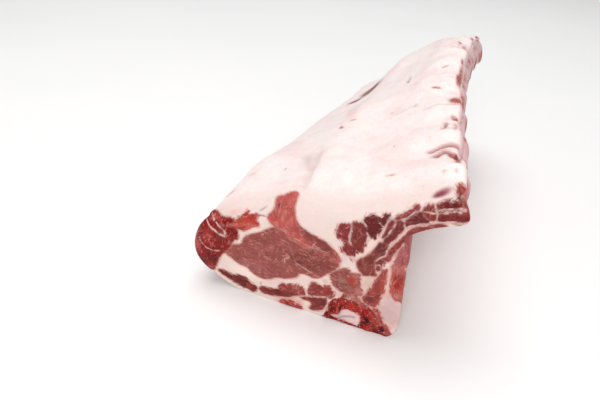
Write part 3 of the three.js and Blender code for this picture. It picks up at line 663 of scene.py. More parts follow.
# Folds that run in from the rib edge: the least and most of their start in x, depth, half-width and lean
RIB_FOLD_COUNT, RIB_FOLD_SPREAD = 15, 5.0
RIB_FOLD_LEAST, RIB_FOLD_MOST = (46, 0.4, 0.8, -0.25), (61, 1.1, 1.7, 0.2)

# How far the ribs lean along the rack for each mm down the chest wall, and the oval of a rib's end
RIB_SLANT = 0.14
RIB_END_Z, RIB_END_HALF_HEIGHT, RIB_END_HALF_LENGTH = 90.0, 5.0, 7.0

# Each surface wavers between two colours. For a fold, the paler one is painted shade in its groove and the
# redder one is the meat showing in it.
SHADES = {
    "fold": ((206, 180, 178), (150, 50, 46)),
    "back_meat": ((128, 30, 30), (166, 62, 58)),
    "back_skin": ((228, 184, 178), (182, 96, 92)),
    "chest_meat": ((144, 48, 48), (184, 92, 88)),
    "membrane": ((224, 176, 172), (196, 124, 122)),
    "foot_lobes": ((228, 200, 194), (214, 168, 162)),
    "rib_side_meat": ((176, 102, 104), (196, 128, 126)),
    "rib_end": ((166, 70, 68), (196, 110, 102)),
}
PINK_FAT, THIN_FAT, RIB_FOLD_COLOUR = (240, 205, 204), (218, 176, 180), (206, 160, 158)
MEMBRANE_ON_RIBS, RIB_SIDE_FAT = (232, 206, 198), (220, 180, 183)
PLAIN_MEAT, SPINE_BLADE = (170, 62, 60), (190, 84, 66)
# Places where red shows through the fat, with some pale and greyish marks and the dark grey of a notch that
# is painted shade: colour, strength, centre (x, t), half-widths and turn.
RED_AND_SHADE_PATCHES = [
    ((190, 96, 92), 1.0, (66, 93), (6, 8.5), 0),
    ((176, 84, 84), 0.95, (66.4, 124), (3.2, 10), 0),
    ((186, 110, 108), 0.8, (67.6, 135), (2.6, 17), 2),
    ((178, 116, 106), 0.8, (66.4, 153), (1.8, 3.4), 0),
    ((224, 176, 160), 0.6, (58, 198), (2.4, 10), 0),
    ((200, 96, 98), 0.8, (55.6, 212), (3.4, 2.2), -30),
    ((196, 110, 92), 0.9, (66.8, 72), (2.6, 2.0), -40),
    ((160, 56, 52), 1.0, (66.4, 27), (1.5, 7), 0),
    ((196, 130, 120), 0.8, (49, 113), (5, 1.2), -20),
    ((220, 170, 170), 0.8, (51.5, 145.5), (4, 1.4), 15),
    ((140, 90, 98), 0.95, (-33, 208), (26, 8.5), -60),
    ((150, 58, 70), 0.85, (-40, 194), (11, 4.5), 60),
    ((154, 66, 80), 0.6, (-31, 205), (8, 4), -60),
    ((176, 84, 72), 0.9, (64.6, 29.5), (2.2, 4.2), 20),
    # Painted shade: the dark grey inside a notch in the fat.
    ((112, 104, 104), 0.75, (19, 146), (1.3, 4.5), -15),
    ((124, 84, 84), 0.75, (60.4, 60), (0.9, 3.4), -10),
    ((190, 110, 112), 0.8, (66, 232), (2.5, 5), 0),
    ((200, 130, 130), 0.7, (60, 250), (4, 2), 0),
    ((180, 90, 92), 0.9, (67.5, 262), (2.2, 7), 0),
    ((196, 120, 122), 0.7, (64, 190), (3, 3), 0),
    ((214, 150, 156), 0.8, (-13.6, 81), (1.6, 3.4), 30),
    ((230, 184, 180), 0.7, (-8.4, 89), (3, 2), 0),
    ((236, 196, 190), 0.5, (-18, 120), (5, 30), 14),
    ((150, 120, 118), 0.5, (36.6, 96), (0.9, 1.8), 0),
    ((170, 140, 140), 0.4, (19, 95), (1.4, 1.8), 0),
    ((206, 120, 110), 0.7, (31.4, 46), (0.7, 0.9), 0),
    ((232, 186, 180), 0.7, (35, 17.8), (4, 1), -12),
    ((168, 140, 132), 0.6, (-30.4, 31.6), (0.8, 1.6), 0),
    ((190, 150, 142), 0.6, (61, 13), (0.9, 1.2), 0),
    ((210, 140, 130), 0.6, (66.6, 12.6), (0.8, 1.2), 0),
    ((232, 196, 194), 0.6, (-52, 30), (3, 2), 0),
    ((226, 178, 176), 0.6, (-58, 14), (4, 3), 20),
]


def shade(name, share):
    """A colour between the two of a surface."""
    first, second = SHADES[name]
    return mix(srgb(*first), srgb(*second), np.asarray(share)[..., None])


def lumpy(x, z, t):
    """The relief that every side has: lumps, and the knob at the far end of the rib edge."""
    knob = KNOB_AT_EDGE * smooth(t, *KNOB_RISE) * smooth(x, 66, 72) * smooth(z, 82, 90)
    return 0.5 * soft_noise(16, x, z, t) + 0.22 * fine_lumps(x / 6, z / 6, t / 7) + knob


def paint_fat_top(x, z, t):
    """The top of the fat: pink mottling, red places, a grey notch of painted shade, folds with painted shade
    in their grooves, and a thin mauve edge over the ribs.
    """
    place = np.column_stack([x, t])
    aslant = 0.8 * x + 0.6 * t + 40, z, 0.8 * t - 0.6 * x
    pink = 0.35 * smooth(soft_noise(22, *aslant) + 0.5 * soft_noise(8, *aslant), 0.0, 0.9)
    cream = mix(srgb(*FAT_COLOUR), srgb(*PINK_FAT), pink[:, None])
    tint = np.tile(srgb(*PLAIN_MEAT), (len(x), 1))
    flesh = np.full(len(x), HIDDEN)
    relief = lumpy(x, z, t) + KNOB_ON_TOP * smooth(t, *KNOB_RISE) * smooth(x, 56, 66)
    for height, centre, reach in FAT_SWELLS:
        relief += height * bell(x, centre[0], reach[0]) * bell(t, centre[1], reach[1])
    for depth, middle, reach, start, end in FAT_DIPS:
        relief -= depth * bell(x, middle, reach) * (smooth(t, *start) - smooth(t, *end))
    for colour, strength, *oval in RED_AND_SHADE_PATCHES:
        share = strength * mark_share(place, *oval)
        cream = mix(cream, srgb(*colour), share[:, None])
        tint = mix(tint, srgb(*colour) * LEAN_DEPTH, smooth(share, 0, 0.3)[:, None])
        flesh = np.maximum(flesh, 5 * (share - 0.78))
        relief -= 0.4 * share
    for half, depth, red, course in FOLDS:
        gap = nearest_on(curve_through(course, 1.0)[0], place, closed=False)[0]
        relief += depth * (0.35 * bell(gap, 2.2 * half, half) - bell(gap, 0, half))
        # Painted shade in the fold's groove, turning red where meat shows in it.
        cream = mix(cream, shade("fold", red), mix(0.45, 1.0, red) * bell(gap, 0, 1.9 * half)[:, None])
    draw = np.random.default_rng(5)
    for fold in range(RIB_FOLD_COUNT):
        at = (fold + 1) * LENGTH / (RIB_FOLD_COUNT + 1) + draw.uniform(-1, 1) * RIB_FOLD_SPREAD
        start, depth, half, lean_over = draw.uniform(RIB_FOLD_LEAST, RIB_FOLD_MOST)
        gap = t - at - lean_over * (x - 60)
        share = bell(gap, 0, half) * smooth(x, start, start + 9)
        lips = 0.4 * bell(np.abs(gap), 2.4 * half, half) * smooth(x, start, 66)
        relief += depth * (lips - share * (1 + 1.2 * smooth(x, 62, 70)))
        cream = mix(cream, srgb(*RIB_FOLD_COLOUR), (0.5 * share**2 * smooth(x, 50, 66))[:, None])
    thin = 0.8 * smooth(x, 66.5, 70.5) * smooth(t, 10, 40)
    return dict(flesh=flesh, tint=tint, cream=mix(cream, srgb(*THIN_FAT), thin[:, None]), relief=relief)


def paint_back(x, z, t):
    """The back side: meat laid bare near the cut and in streaks, thin skin over the rest, fat at the top."""
    bare = np.clip((34 + 1.5 * (25 - z) + 4 * soft_noise(9, x, z, t) - t) * 0.5, -6, 6)
    streak = fine_lumps(z / 5, t / 34, x / 9) + 0.4 * fine_lumps(z / 2, t / 13, x / 4)
    under_fat = smooth(z + 3.5 * soft_noise(12, x, t, 3) + 1.2 * fine_lumps(t / 3, z / 3, 1), 39.5, 42.5)
    flesh = np.maximum(bare, 5 * (streak - 0.34)) - 7 * under_fat * smooth(t, 8, 16)
    veil = smooth(soft_noise(12, x, z, t / 2.2) + 0.4 * streak, -0.6, 0.6)
    cream = mix(shade("back_skin", veil), srgb(*FAT_COLOUR), under_fat[:, None])
    relief = lumpy(x, z, t) + 0.7 * streak + 1.2 * soft_noise(24, x, z, t) * smooth(t, 10, 30)
    return dict(flesh=flesh, tint=shade("back_meat", veil), cream=cream, relief=relief)


def paint_chest(x, z, t):
    """The chest wall: a membrane over the ribs, meat between them, and lobes of fat along the foot."""
    slanted = t + RIB_SLANT * (84 - z)
    from_rib = np.abs(slanted % RIB_PITCH - RIB_PITCH / 2)
    to_gap = RIB_PITCH / 2 - from_rib
    between = 5.5 + 5.0 * smooth(z, 34, 70) - to_gap + 2.2 * soft_noise(9, x, z, t)
    layer = 0.6 * (np.minimum(z - 28, 80 - z) + 5 * soft_noise(12, x, z, t))
    veil = 5.0 * smooth(soft_noise(15, x, z, t + 7), 0.0, 0.7)
    near_cut = 0.3 * (15 - t) - 0.6 * np.maximum(29 - z, 0)
    over_ribs = smooth(-from_rib, -9.5, -2) * smooth(z, 24, 44)
    lobes = soft_noise(15, x, z, t) * smooth(-z, -40, -26)
    membrane = shade("membrane", smooth(soft_noise(10, x, z, t), -0.3, 0.7))
    membrane = mix(membrane, srgb(*MEMBRANE_ON_RIBS), (0.7 * over_ribs)[:, None])
    lobe = shade("foot_lobes", smooth(soft_noise(9, x, z, t + 50), 0, 0.8))
    above_lobes = smooth(z + 4 * soft_noise(12, x, z, t), 22, 31)
    return dict(flesh=np.maximum(np.minimum(between, layer) - veil, near_cut),
                tint=shade("chest_meat", smooth(soft_noise(7, x, z, t), -0.6, 0.6)),
                cream=mix(lobe, membrane, above_lobes[:, None]),
                relief=lumpy(x, z, t) + (1.9 * over_ribs - 0.7 + 1.3 * lobes) * smooth(t, 12, 45))


def paint_rib_edge(x, z, t):
    """The edge at the rib ends: pale meat with the oval end of each rib in it."""
    from_rib = np.abs(t % RIB_PITCH - RIB_PITCH / 2)
    half_length = RIB_END_HALF_LENGTH + 2.0 * soft_noise(30, t, 0, 0)
    in_rib = (1 - np.hypot((z - RIB_END_Z) / RIB_END_HALF_HEIGHT, from_rib / half_length)) * 5.0
    rib_flesh = in_rib - 1.3 + 1.5 * soft_noise(4, x, z, t)
    redder = smooth(soft_noise(7, x, z, t), -0.6, 0.6)
    tint = np.where((in_rib > 0)[:, None], shade("rib_end", redder), shade("rib_side_meat", redder))
    relief = lumpy(x, z, t) + 1.2 * smooth(in_rib, -1.4, 1.6) - 0.8 + 0.7 * fine_lumps(x / 5, z / 5, t / 6)
    return dict(flesh=np.where(in_rib > -1.0, rib_flesh, -0.9 + 3 * soft_noise(6, x, z, t)), tint=tint,
                cream=srgb(*RIB_SIDE_FAT), bone=np.maximum(HIDDEN, in_rib - 1.6),
                relief=relief - 1.4 * smooth(-t, -45, -8))


def paint_underside(x, z, t):
    """The side that was sawn: meat, the halves of the vertebrae under the backbone and their thin blades."""
    from_rib = np.abs(t % RIB_PITCH - RIB_PITCH / 2)
    in_vertebra = 14.5 - from_rib
    blade = 4.2 - np.abs(from_rib - 4 * smooth(-x, -6, 40)) + 1.0 * soft_noise(8, x, z, t)
    blade = np.where(x > -34, blade, -4)
    vertebra, feather = x > 9, x <= 6
    tint = np.where((feather & (blade > 0))[:, None], srgb(*SPINE_BLADE), srgb(*PLAIN_MEAT))
    return dict(flesh=np.where(vertebra, in_vertebra, 1.0 + 4 * soft_noise(11, x, z, t / 2)),
                tint=np.where(vertebra[:, None], srgb(*MARROW_COLOUR), tint),
                bone=np.where(vertebra, in_vertebra, np.where(feather, blade, HIDDEN)))


SIDES = {"fat": paint_fat_top, "back": paint_back, "chest": paint_chest, "ribs": paint_rib_edge,
         "bottom": paint_underside}


def paint_outside(x, z, t, part):
    """What the outside shows at points of the outline and places along the rack; part names their stretch."""
    count = len(x)
    values = dict(flesh=np.full(count, HIDDEN), fray=np.full(count, FRAY), sheet=np.full(count, NO_SHEET),
                  bone=np.full(count, HIDDEN), tint=np.zeros((count, 3)), relief=np.zeros(count),
                  cream=np.tile(srgb(*FAT_COLOUR), (count, 1)), fibre=np.column_stack([t, x, z]))
    for name, paint in SIDES.items():
        here = part == name
        for key, value in paint(x[here], z[here], t[here]).items():
            values[key][here] = value
    return values


# ---------------------------------------------------------------- the section's outline
whole, places = curve_through(
    [CHEST_FOOT, *CHEST, *RIB_SIDE, FAT_RIB_END, *FAT_EDGE, *FAT_TOP, FAT_BACK_END, *BACK, BACK_FOOT],
    OUTSIDE_STEP)
at_rib_side = places[len(CHEST)]
at_fat_rib_end = places[1 + len(CHEST) + len(RIB_SIDE)]
at_fat_back_end = places[2 + len(CHEST) + len(RIB_SIDE) + len(FAT_EDGE) + len(FAT_TOP)]
chest_side = whole[:at_rib_side + 1]
rib_side = whole[at_rib_side:at_fat_rib_end + 1]
fat_outside = whole[at_fat_rib_end:at_fat_back_end + 1]
back_side = whole[at_fat_back_end:]
fat_underside = curve_through([FAT_BACK_END] + FAT_UNDERSIDE + [FAT_RIB_END], INSIDE_STEP)[0]
bone_top = curve_through(BONE_TOP, INSIDE_STEP)[0]
back_foot_line = straight(BACK_FOOT, BONE_TOP[-1], BOTTOM_STEP)
bone_foot_line = straight(BONE_TOP[-1], BONE_TOP[0], BOTTOM_STEP)
chest_foot_line = straight(BONE_TOP[0], CHEST_FOOT, BOTTOM_STEP)


def joined(*stretches):
    """One closed outline from stretches that follow each other: its points and the stretch each is in."""
    points, parts = [], []
    for name, line in stretches:
        points.append(line[:-1])
        parts += [name] * (len(line) - 1)
    return np.vstack(points), np.array(parts)


outer_line = joined(("chest", chest_side), ("ribs", rib_side), ("fat", fat_outside), ("back", back_side),
                    ("bottom", back_foot_line), ("bottom", bone_foot_line), ("bottom", chest_foot_line))[0]
OUTLINES = {
    "fat_layer": joined(("fat", fat_outside), ("inside", fat_underside)),
    "meat": joined(("chest", chest_side), ("ribs", rib_side), ("inside", fat_underside[::-1]),
                   ("back", back_side), ("bottom", back_foot_line), ("inside", bone_top[::-1]),
                   ("bottom", chest_foot_line)),
    "backbone": joined(("inside", bone_top), ("bottom", bone_foot_line)),
}


def outward_normals(line):
    """Unit normals that point out of a closed outline that runs anticlockwise."""
    run = np.roll(line, -1, axis=0) - np.roll(line, 1, axis=0)
    run /= np.linalg.norm(run, axis=1)[:, None]
    return np.column_stack([run[:, 1], -run[:, 0]])


def rim_radii(line, normals):
    """How round the edge between the cut face and the outside is, mm: soft on the fat, sharp on the board."""
    facing_up = smooth(normals[:, 1], 0.1, 0.7) * smooth(line[:, 1], 40, 56)
    radii = 0.4 + smooth(line[:, 1], 1, 12) * (1.6 + 9.0 * facing_up)
    for _ in range(6):
        radii = (np.roll(radii, 1) + radii + np.roll(radii, -1)) / 3
    return radii


outer_normals = outward_normals(outer_line)
outer_radii = rim_radii(outer_line, outer_normals)


# ---------------------------------------------------------------- meshes
def fill(ring, step):
    """Points and triangles that fill a closed outline. The outline's own points come first."""
    low, high = ring.min(0), ring.max(0)
    x, z = np.meshgrid(np.arange(low[0], high[0], step), np.arange(low[1], high[1], step * math.sqrt(0.75)))
    x[1::2] += step / 2
    lattice = np.column_stack([x.ravel(), z.ravel()])
    lattice = lattice[is_inside(lattice, ring)]
    lattice = lattice[nearest_on(ring, lattice)[0] > 0.55 * step]
    points = np.vstack([ring, lattice])
    edges = [(i, (i + 1) % len(ring)) for i in range(len(ring))]
    found, _, triangles, *_ = delaunay_2d_cdt([Vector(p) for p in points], edges, [], 0, 1e-6, False)
    assert len(found) == len(points), "two points of the outline lie on each other"
    triangles = np.array(triangles)
    return points, triangles[is_inside(points[triangles].mean(1), ring)]


def stations():
    middle = np.arange(END_STATIONS[-1] + STATION_STEP, LENGTH - END_STATIONS[-1] - 0.1, STATION_STEP)
    return np.concatenate([END_STATIONS, middle, LENGTH - np.array(END_STATIONS[::-1])])


def loft(ring, parts):
    """A closed body on an outline: section points, places along, the part each is in, and triangles."""
    along = stations()
    n, rows = len(ring), len(along)
    section = [np.tile(ring, (rows, 1))]
    t = [np.repeat(along, n)]
    names = [np.tile(parts, rows)]
    row, col = np.meshgrid(np.arange(rows - 1), np.arange(n), indexing="ij")
    here, there = row * n + col, row * n + (col + 1) % n
    quads = np.stack([here, there, there + n, here + n], -1).reshape(-1, 4)
    triangles = [quads[:, [0, 1, 2]], quads[:, [0, 2, 3]]]
    used = n * rows
    for place, step, turn in ((0.0, NEAR_CUT_STEP, True), (LENGTH, FAR_CUT_STEP, False)):
        points, faces = fill(ring, step)
        first = 0 if turn else (rows - 1) * n
        index = np.concatenate([first + np.arange(n), used + np.arange(len(points) - n)])
        section.append(points[n:])
        t.append(np.full(len(points) - n, place))
        names.append(np.full(len(points) - n, "cut"))
        faces = index[faces]
        triangles.append(faces[:, ::-1] if turn else faces)
        used += len(points) - n
    return np.vstack(section), np.concatenate(t), np.concatenate(names), np.vstack(triangles)


def round_rims(section, t):
    """Rounds the edge between the cut faces and the outside. Gives the moved section points and places along,
    the way out of the outline, and how much each point faces the side and the cut."""
    gap, segment, share = nearest_on(outer_line, section)
    after = (segment + 1) % len(outer_line)
    normal = mix(outer_normals[segment], outer_normals[after], share[:, None])
    normal /= np.linalg.norm(normal, axis=1)[:, None]
    radius = mix(outer_radii[segment], outer_radii[after], share)
    near = t < LENGTH / 2
    deep = np.where(near, t, LENGTH - t)
    to_side, to_cut = radius - gap, radius - deep
    corner = (to_side > 0) & (to_cut > 0)
    greatest = np.maximum(np.maximum(to_side, to_cut), 1e-9)
    eighth = np.pi / 4
    swing = np.where(to_side >= to_cut, 2 * eighth - eighth * to_cut / greatest, eighth * to_side / greatest)
    new_gap = np.where(corner, radius - greatest * np.sin(swing), gap)
    new_deep = np.where(corner, radius - greatest * np.cos(swing), deep)
    faces_side = np.where(corner, np.sin(swing), np.where(to_cut > 0, 0.0, 1.0))
    faces_side = np.where(~corner & (deep > 0) & (gap < 1e-6), 1.0, faces_side)
    faces_cut = np.sqrt(1 - faces_side**2)
    moved = section + normal * (gap - new_gap)[:, None]
    return moved, np.where(near, new_deep, LENGTH - new_deep), normal, faces_side, faces_cut


def place_points(moved, t, normal, faces_side, faces_cut, relief, rests):
    """Adds the relief and bends the section to the rack's form. Gives points in metres."""
    off_board = smooth(moved[:, 1], 0.0, 2.0)
    moved = moved + normal * (relief * faces_side * off_board)[:, None]
    moved[:, 1] = np.where(rests, 0.0, np.maximum(moved[:, 1], 0.0))
    t = t + relief * faces_cut * np.where(t < LENGTH / 2, -1, 1)
    x, z = bend(moved[:, 0], moved[:, 1], t)
    return np.column_stack([x, t - LENGTH / 2, np.maximum(z, 0.0)]) * MM


# From here, in front of and above the cut, its rounded rim and its flat part show as one drawing.
EYE_PLACE, EYE_DISTANCE = np.array([76.0, 207.0]), 206.0


def as_seen(moved, set_back):
    """Where points of the rim show in the drawing of the cut, when they lie set back behind it."""
    at_cut = np.column_stack(bend(moved[:, 0], moved[:, 1], np.zeros(len(moved))))
    share = EYE_DISTANCE / (EYE_DISTANCE + set_back)
    return mix(EYE_PLACE, at_cut, share[:, None])


# The slope of the fat's edge over the ribs, how far it is drawn back, and how much further past EDGE_CHANGE
FAT_EDGE_SLOPE = 0.67
EDGE_BACK, EDGE_FURTHER_BACK, EDGE_CHANGE = 0.6, 1.2, (108, 122)


def draw_back_edge(section, t):
    """Draws the thin edge of the fat back from the rib ends, unevenly, over the meat below it."""
    back = EDGE_BACK + EDGE_FURTHER_BACK * smooth(t, *EDGE_CHANGE) + 1.2 * broad_lumps(t / 9, 0, 7)
    back = np.maximum(smooth(t, 4, 25) * back, 0) * smooth(section[:, 0], 50, 69)
    return section - np.column_stack([back, FAT_EDGE_SLOPE * back])


# How far from the cut the outside's look starts and is full, mm
SIDE_STARTS, SIDE_FULL, FAT_SIDE_FULL = 0.3, 5.0, 11.0
# How deep the hidden faces are sunk where the fat's edge is drawn back, mm
EDGE_SINK = 0.8


def surface_values(section, seen, t, names):
    """The cut's values near the cut, the outside's on the sides, and the relief between them."""
    cut = paint_cut(seen)
    outside = paint_outside(section[:, 0], section[:, 1], t, names)
    from_end = np.minimum(t, LENGTH - t)
    side_share = smooth(from_end, SIDE_STARTS, np.where(names == "fat", FAT_SIDE_FULL, SIDE_FULL))
    side_share = np.where((names == "cut") | (names == "inside"), 0.0, side_share)
    values = {key: mix(cut[key], outside[key], side_share.reshape((-1,) + (1,) * (cut[key].ndim - 1)))
              for key in cut}
    values["fibre"] = np.where(side_share[:, None] < 0.5, cut["fibre"], outside["fibre"])
    values["grain"] = np.column_stack([section, t])
    values["relief"] += 0.35 * soft_noise(11, section[:, 0], section[:, 1], t) * (1 - side_share)
    sunk = EDGE_SINK * smooth(section[:, 0], 58, 66) * smooth(section[:, 1], 88, 94) * smooth(from_end, 0, 6)
    values["relief"] = np.where((names == "inside") & (from_end > 0), -sunk, values["relief"])
    return values


def write_mesh(name, points, triangles, values):
    """A smooth mesh that keeps each surface value at its points."""
    mesh = bpy.data.meshes.new(name)
    mesh.from_pydata(points.tolist(), [], triangles.tolist())
    mesh.validate()
    mesh.polygons.foreach_set("use_smooth", np.ones(len(mesh.polygons), bool))
    mesh.set_sharp_from_angle(angle=math.radians(50))
    opaque = np.ones(len(points))
    kinds = {"FLOAT": "value", "FLOAT_COLOR": "color", "FLOAT_VECTOR": "vector"}
    for kind, keys in (("FLOAT", ("flesh", "fray", "sheet", "bone")), ("FLOAT_COLOR", ("tint", "cream")),
                       ("FLOAT_VECTOR", ("grain", "fibre"))):
        for key in keys:
            value = np.column_stack([values[key], opaque]) if kind == "FLOAT_COLOR" else values[key]
            attribute = mesh.attributes.new(key, kind, "POINT")
            attribute.data.foreach_set(kinds[kind], value.astype(np.float32).ravel())
    return mesh


def make_piece(name, material):
    """One closed piece of the rack with its surface values."""
    ring, parts = OUTLINES[name]
    section, t, names, triangles = loft(ring, parts)
    if name == "fat_layer":
        section = draw_back_edge(section, t)
    moved, new_t, *facing = round_rims(section, t)
    seen = as_seen(moved, np.minimum(new_t, LENGTH - new_t))
    values = surface_values(section, seen, t, names)
    points = place_points(moved, new_t, *facing, values["relief"], names == "bottom")
    mesh = write_mesh(name, points, triangles, values)
    mesh.materials.append(material)
    piece = bpy.data.objects.new(name, mesh)
    bpy.context.scene.collection.objects.link(piece)
    return piece


# ---------------------------------------------------------------- materials
class Shader:
    """A material's node tree, with short calls for the nodes used here."""

    def __init__(self, name):
        self.material = bpy.data.materials.new(name)
        self.material.use_nodes = True
        self.tree = self.material.node_tree
        self.tree.nodes.clear()

    def node(self, kind, inputs=(), **settings):
        made = self.tree.nodes.new("ShaderNode" + kind)
        for key, value in settings.items():
            setattr(made, key, value)
        for key, value in dict(inputs).items():
            if isinstance(value, bpy.types.NodeSocket):
                self.tree.links.new(value, made.inputs[key])
            else:
                made.inputs[key].default_value = value
        return made

    def value(self, name):
        return self.node("Attribute", attribute_name=name).outputs["Fac"]

    def colour(self, name):
        return self.node("Attribute", attribute_name=name).outputs["Color"]

    def vector(self, name):
        return self.node("Attribute", attribute_name=name).outputs["Vector"]

    def math(self, operation, a, b=0.0):
        return self.node("Math", {0: a, 1: b}, operation=operation).outputs[0]

    def step(self, value, low, high, to_low=0.0, to_high=1.0):
        inputs = {"Value": value, "From Min": low, "From Max": high, "To Min": to_low, "To Max": to_high}
        return self.node("MapRange", inputs, interpolation_type="SMOOTHSTEP").outputs[0]

    def mix(self, share, a, b, blend="MIX"):
        inputs = {0: share, 6: a, 7: b}
        return self.node("Mix", inputs, data_type="RGBA", blend_type=blend).outputs[2]

    def stretch(self, vector, lengths, turn=0.0):
        """Makes a texture's features longer along each axis, with the axes turned in the section."""
        inputs = {"Vector": vector, "Scale": lengths, "Rotation": (0, 0, math.radians(turn))}
        return self.node("Mapping", inputs, vector_type="TEXTURE").outputs[0]

    def noise(self, vector, scale, detail=2.0, roughness=0.5, distortion=0.0):
        inputs = {"Vector": vector, "Scale": scale, "Detail": detail, "Roughness": roughness,
                  "Distortion": distortion}
        return self.node("TexNoise", inputs).outputs["Fac"]

    def ridges(self, noise):
        """1 on the lines where a noise crosses its middle value, falling to 0 away from them."""
        off = self.math("ABSOLUTE", self.math("SUBTRACT", self.math("MULTIPLY", noise, 2.0), 1.0))
        return self.math("SUBTRACT", 1.0, off)

    def times(self, *values):
        """The product of some values."""
        product = values[0]
        for value in values[1:]:
            product = self.math("MULTIPLY", product, value)
        return product

    def sum(self, *values):
        """The sum of some values."""
        total = values[0]
        for value in values[1:]:
            total = self.math("ADD", total, value)
        return total


def rgba(*levels):
    return (*srgb(*levels), 1.0)


def food_material(name, roughness, shine, coat, softness):
    """Raw meat, fat and bone: the surface values say which of them shows at a place."""
    s = Shader(name)
    grain = s.vector("grain")
    drift = s.node("TexNoise", {"Vector": grain, "Scale": 0.22, "Detail": 2}).outputs["Color"]
    shift = s.node("VectorMath", {0: drift, 1: (0.5, 0.5, 0.5)}, operation="SUBTRACT").outputs[0]
    wander = {0: shift, 1: (1.6, 1.6, 1.6), 2: s.vector("fibre")}
    fibre = s.node("VectorMath", wander, operation="MULTIPLY_ADD").outputs[0]
    coarse = s.times(s.math("SUBTRACT", s.noise(grain, 0.3, 3, 0.6), 0.48), 2.0)
    frays = s.math("SUBTRACT", s.noise(s.stretch(fibre, (3.2, 1, 1)), 0.8, 3, 0.6), 0.48)
    ragged = s.sum(coarse, s.times(frays, 5.0))
    depth = s.sum(s.value("flesh"), s.times(ragged, s.value("fray")))
    flesh = s.step(depth, -0.35, 0.45)
    broken = s.step(s.noise(grain, 0.3, 4, 0.7), 0.34, 0.54, 0.2, 1.0)
    sheet = s.times(s.step(s.sum(s.value("sheet"), s.times(frays, 1.4)), -0.4, 0.5), broken)
    bone = s.step(s.sum(s.value("bone"), frays), -0.3, 0.3)
    tint, cream = s.colour("tint"), s.colour("cream")

    # fat: creamy, with faint pink mottling, and redder where the meat is near
    mottle = s.step(s.noise(grain, 0.11, 4, 0.6), 0.42, 0.72)
    fat = s.mix(s.times(mottle, 0.25), cream, rgba(236, 198, 196))
    specks = s.step(s.noise(grain, 0.9, 3, 0.6), 0.52, 0.75)
    fat = s.mix(s.times(specks, 0.16), fat, rgba(214, 160, 152))
    blush = s.times(s.step(depth, -1.5, -0.1), 0.7)
    fat = s.mix(blush, fat, s.mix(0.7, tint, rgba(222, 166, 156)))

    # lean: fine threads along the fibres, soft light and dark patches, and thin pale marbling
    patches = s.step(s.noise(grain, 0.13, 3, 0.6), 0.3, 0.7, 0.84, 1.16)
    threads = s.step(s.noise(s.stretch(fibre, (5, 1, 1)), 0.8, 3, 0.6), 0.32, 0.68, 0.9, 1.08)
    tone = s.times(patches, threads)
    lean = s.mix(1.0, tint, s.node("CombineColor", {0: tone, 1: tone, 2: tone}).outputs[0], "MULTIPLY")
    veins = s.step(s.ridges(s.noise(s.stretch(fibre, (3.0, 1, 1), -24), 0.26, 3, 0.6, 0.5)), 0.93, 0.99)
    veins = s.times(veins, s.step(s.noise(grain, 0.16, 3, 0.6), 0.4, 0.58))
    crossing = s.step(s.ridges(s.noise(s.stretch(fibre, (2.6, 0.8, 1), 52), 0.3, 3, 0.6, 0.5)), 0.94, 0.99)
    crossing = s.times(crossing, s.step(s.noise(grain, 0.21, 3, 0.6), 0.5, 0.62))
    marbling = s.math("MAXIMUM", veins, crossing)
    flecks = s.step(s.noise(s.stretch(fibre, (2.2, 1, 1), 10), 0.7, 3, 0.6), 0.62, 0.7)
    brightness = s.node("SeparateColor", {"Color": tint}).outputs["Red"]
    marbled = s.step(brightness, 0.12, 0.26, 0.3, 1.0)
    pale = s.times(s.math("MAXIMUM", marbling, s.times(flecks, 0.5)), marbled)
    pale = s.math("MAXIMUM", pale, s.times(s.step(depth, 1.2, 0.1), 0.45))
    lean = s.mix(pale, lean, s.mix(0.5, tint, rgba(220, 146, 136)))

    # marrow: red sponge with dark holes and pale walls and crumbs
    solid = s.step(brightness, 0.02, 0.16)
    walls = s.step(s.noise(grain, 0.8, 3, 0.7, 0.6), 0.54, 0.66)
    marrow = s.mix(s.times(walls, solid, 0.6), tint, rgba(206, 56, 46))
    pits = s.step(s.noise(s.stretch(grain, (0.8, 1.3, 1), 20), 0.6, 3, 0.6), 0.55, 0.64)
    marrow = s.mix(s.times(pits, 0.7), marrow, rgba(96, 4, 8))
    crumbs = s.step(s.noise(grain, 1.1, 2, 0.5), 0.61, 0.68)
    marrow = s.mix(s.times(crumbs, solid, 0.75), marrow, rgba(238, 178, 168))

    colour = s.mix(flesh, fat, s.mix(bone, lean, marrow))
    colour = s.mix(s.times(sheet, 0.9), colour, s.mix(0.5, cream, rgba(206, 146, 134)))

    swell = s.noise(grain, 0.3, 4, 0.6)
    fine = s.noise(grain, 1.6, 3, 0.6)
    height = s.sum(s.times(swell, 0.9), s.times(fine, 0.22), s.times(threads, flesh, 0.9), s.times(pale, 0.2),
                   s.times(walls, bone, 0.9), s.times(pits, bone, -0.9))
    bump = s.node("Bump", {"Height": height, "Strength": 0.6, "Distance": 0.0009}).outputs[0]
    rough = s.sum(s.times(s.math("SUBTRACT", s.noise(grain, 0.5, 3), 0.5), 0.3), roughness)
    shader = s.node("BsdfPrincipled", {
        "Base Color": colour, "Roughness": rough, "IOR": 1.36, "Specular IOR Level": shine, "Normal": bump,
        "Subsurface Weight": softness, "Subsurface Radius": (1.0, 0.42, 0.3), "Subsurface Scale": 0.0024,
        "Coat Weight": coat, "Coat Roughness": 0.22, "Coat IOR": 1.36,
    })
    s.tree.nodes.active = s.node("OutputMaterial", {"Surface": shader.outputs[0]})
    return s.material


# ---------------------------------------------------------------- the pieces
PIECES = {
    # piece: (CAD node, slot, roughness, shine, coat, softness)
    "fat_layer": ("fat_cap", "fat", 0.45, 0.4, 0.0, 0.35),
    "meat": ("lean", "meat", 0.36, 0.25, 0.0, 0.18),
    "backbone": ("chine_bone", "bone", 0.3, 0.3, 0.0, 0.08),
}
for name, (cad_node, slot, *surface) in PIECES.items():
    piece = make_piece(name, food_material(name, *surface))
    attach(piece, "root")
    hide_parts(cad_node)


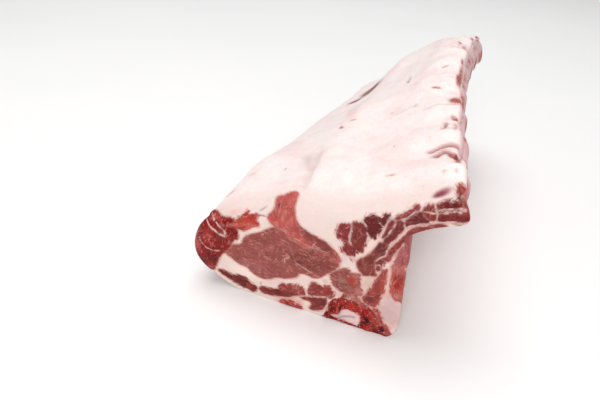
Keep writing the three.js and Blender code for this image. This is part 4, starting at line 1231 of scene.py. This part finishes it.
# ---------------------------------------------------------------- floor, light and camera
def floor_material():
    s = Shader("floor")
    grain = s.node("TexCoord").outputs["Object"]
    tone = s.step(s.noise(grain, 3.0, 3), 0.3, 0.7, 0.93, 0.95)
    colour = s.node("CombineColor", {0: tone, 1: tone, 2: tone}).outputs[0]
    shader = s.node("BsdfPrincipled", {"Base Color": colour, "Roughness": 0.75})
    s.node("OutputMaterial", {"Surface": shader.outputs[0]})
    return s.material


FLOOR_SIDE = 12.0
bpy.ops.mesh.primitive_plane_add(size=FLOOR_SIDE, location=(0, 0, -0.0002))
floor = bpy.context.object
floor.name = "floor"
floor.data.materials.append(floor_material())


def soft_light(name, place, aim, size, power, colour=(1, 1, 1)):
    data = bpy.data.lights.new(name, "AREA")
    data.shape = "DISK"
    data.size, data.energy, data.color = size, power, colour
    light = bpy.data.objects.new(name, data)
    light.location = place
    light.rotation_euler = (Vector(aim) - Vector(place)).to_track_quat("-Z", "Y").to_euler()
    bpy.context.scene.collection.objects.link(light)


soft_light("overhead", (-0.35, 0.3, 2.2), (0, 0, 0.0), 2.0, 30.0, (1.0, 0.99, 0.985))
soft_light("front", (0.25, -1.3, 0.8), (0, -0.1, 0.05), 0.7, 10.5, (1.0, 0.985, 0.97))

world = bpy.data.worlds.new("studio")
world.use_nodes = True
background = world.node_tree.nodes["Background"]
background.inputs["Color"].default_value = (1.0, 1.0, 1.0, 1.0)
background.inputs["Strength"].default_value = 0.4
bpy.context.scene.world = world
bpy.context.scene.view_settings.view_transform = "Standard"

CAMERA_PLACE = (0.07564, -0.34574, 0.20705)
CAMERA_RIGHT, CAMERA_UP = (0.919, 0.394, 0.034), (-0.228, 0.458, 0.859)
CAMERA_LENS, SENSOR_WIDTH = 29.63, 36.0
camera_data = bpy.data.cameras.new("camera")
camera_data.lens, camera_data.sensor_width, camera_data.sensor_fit = CAMERA_LENS, SENSOR_WIDTH, "HORIZONTAL"
camera = bpy.data.objects.new("camera", camera_data)
right = Vector(CAMERA_RIGHT).normalized()
backward = right.cross(Vector(CAMERA_UP)).normalized()
turn = Matrix((right, backward.cross(right), backward)).transposed()
camera.matrix_world = Matrix.LocRotScale(Vector(CAMERA_PLACE), turn, None)
bpy.context.scene.collection.objects.link(camera)
bpy.context.scene.camera = camera
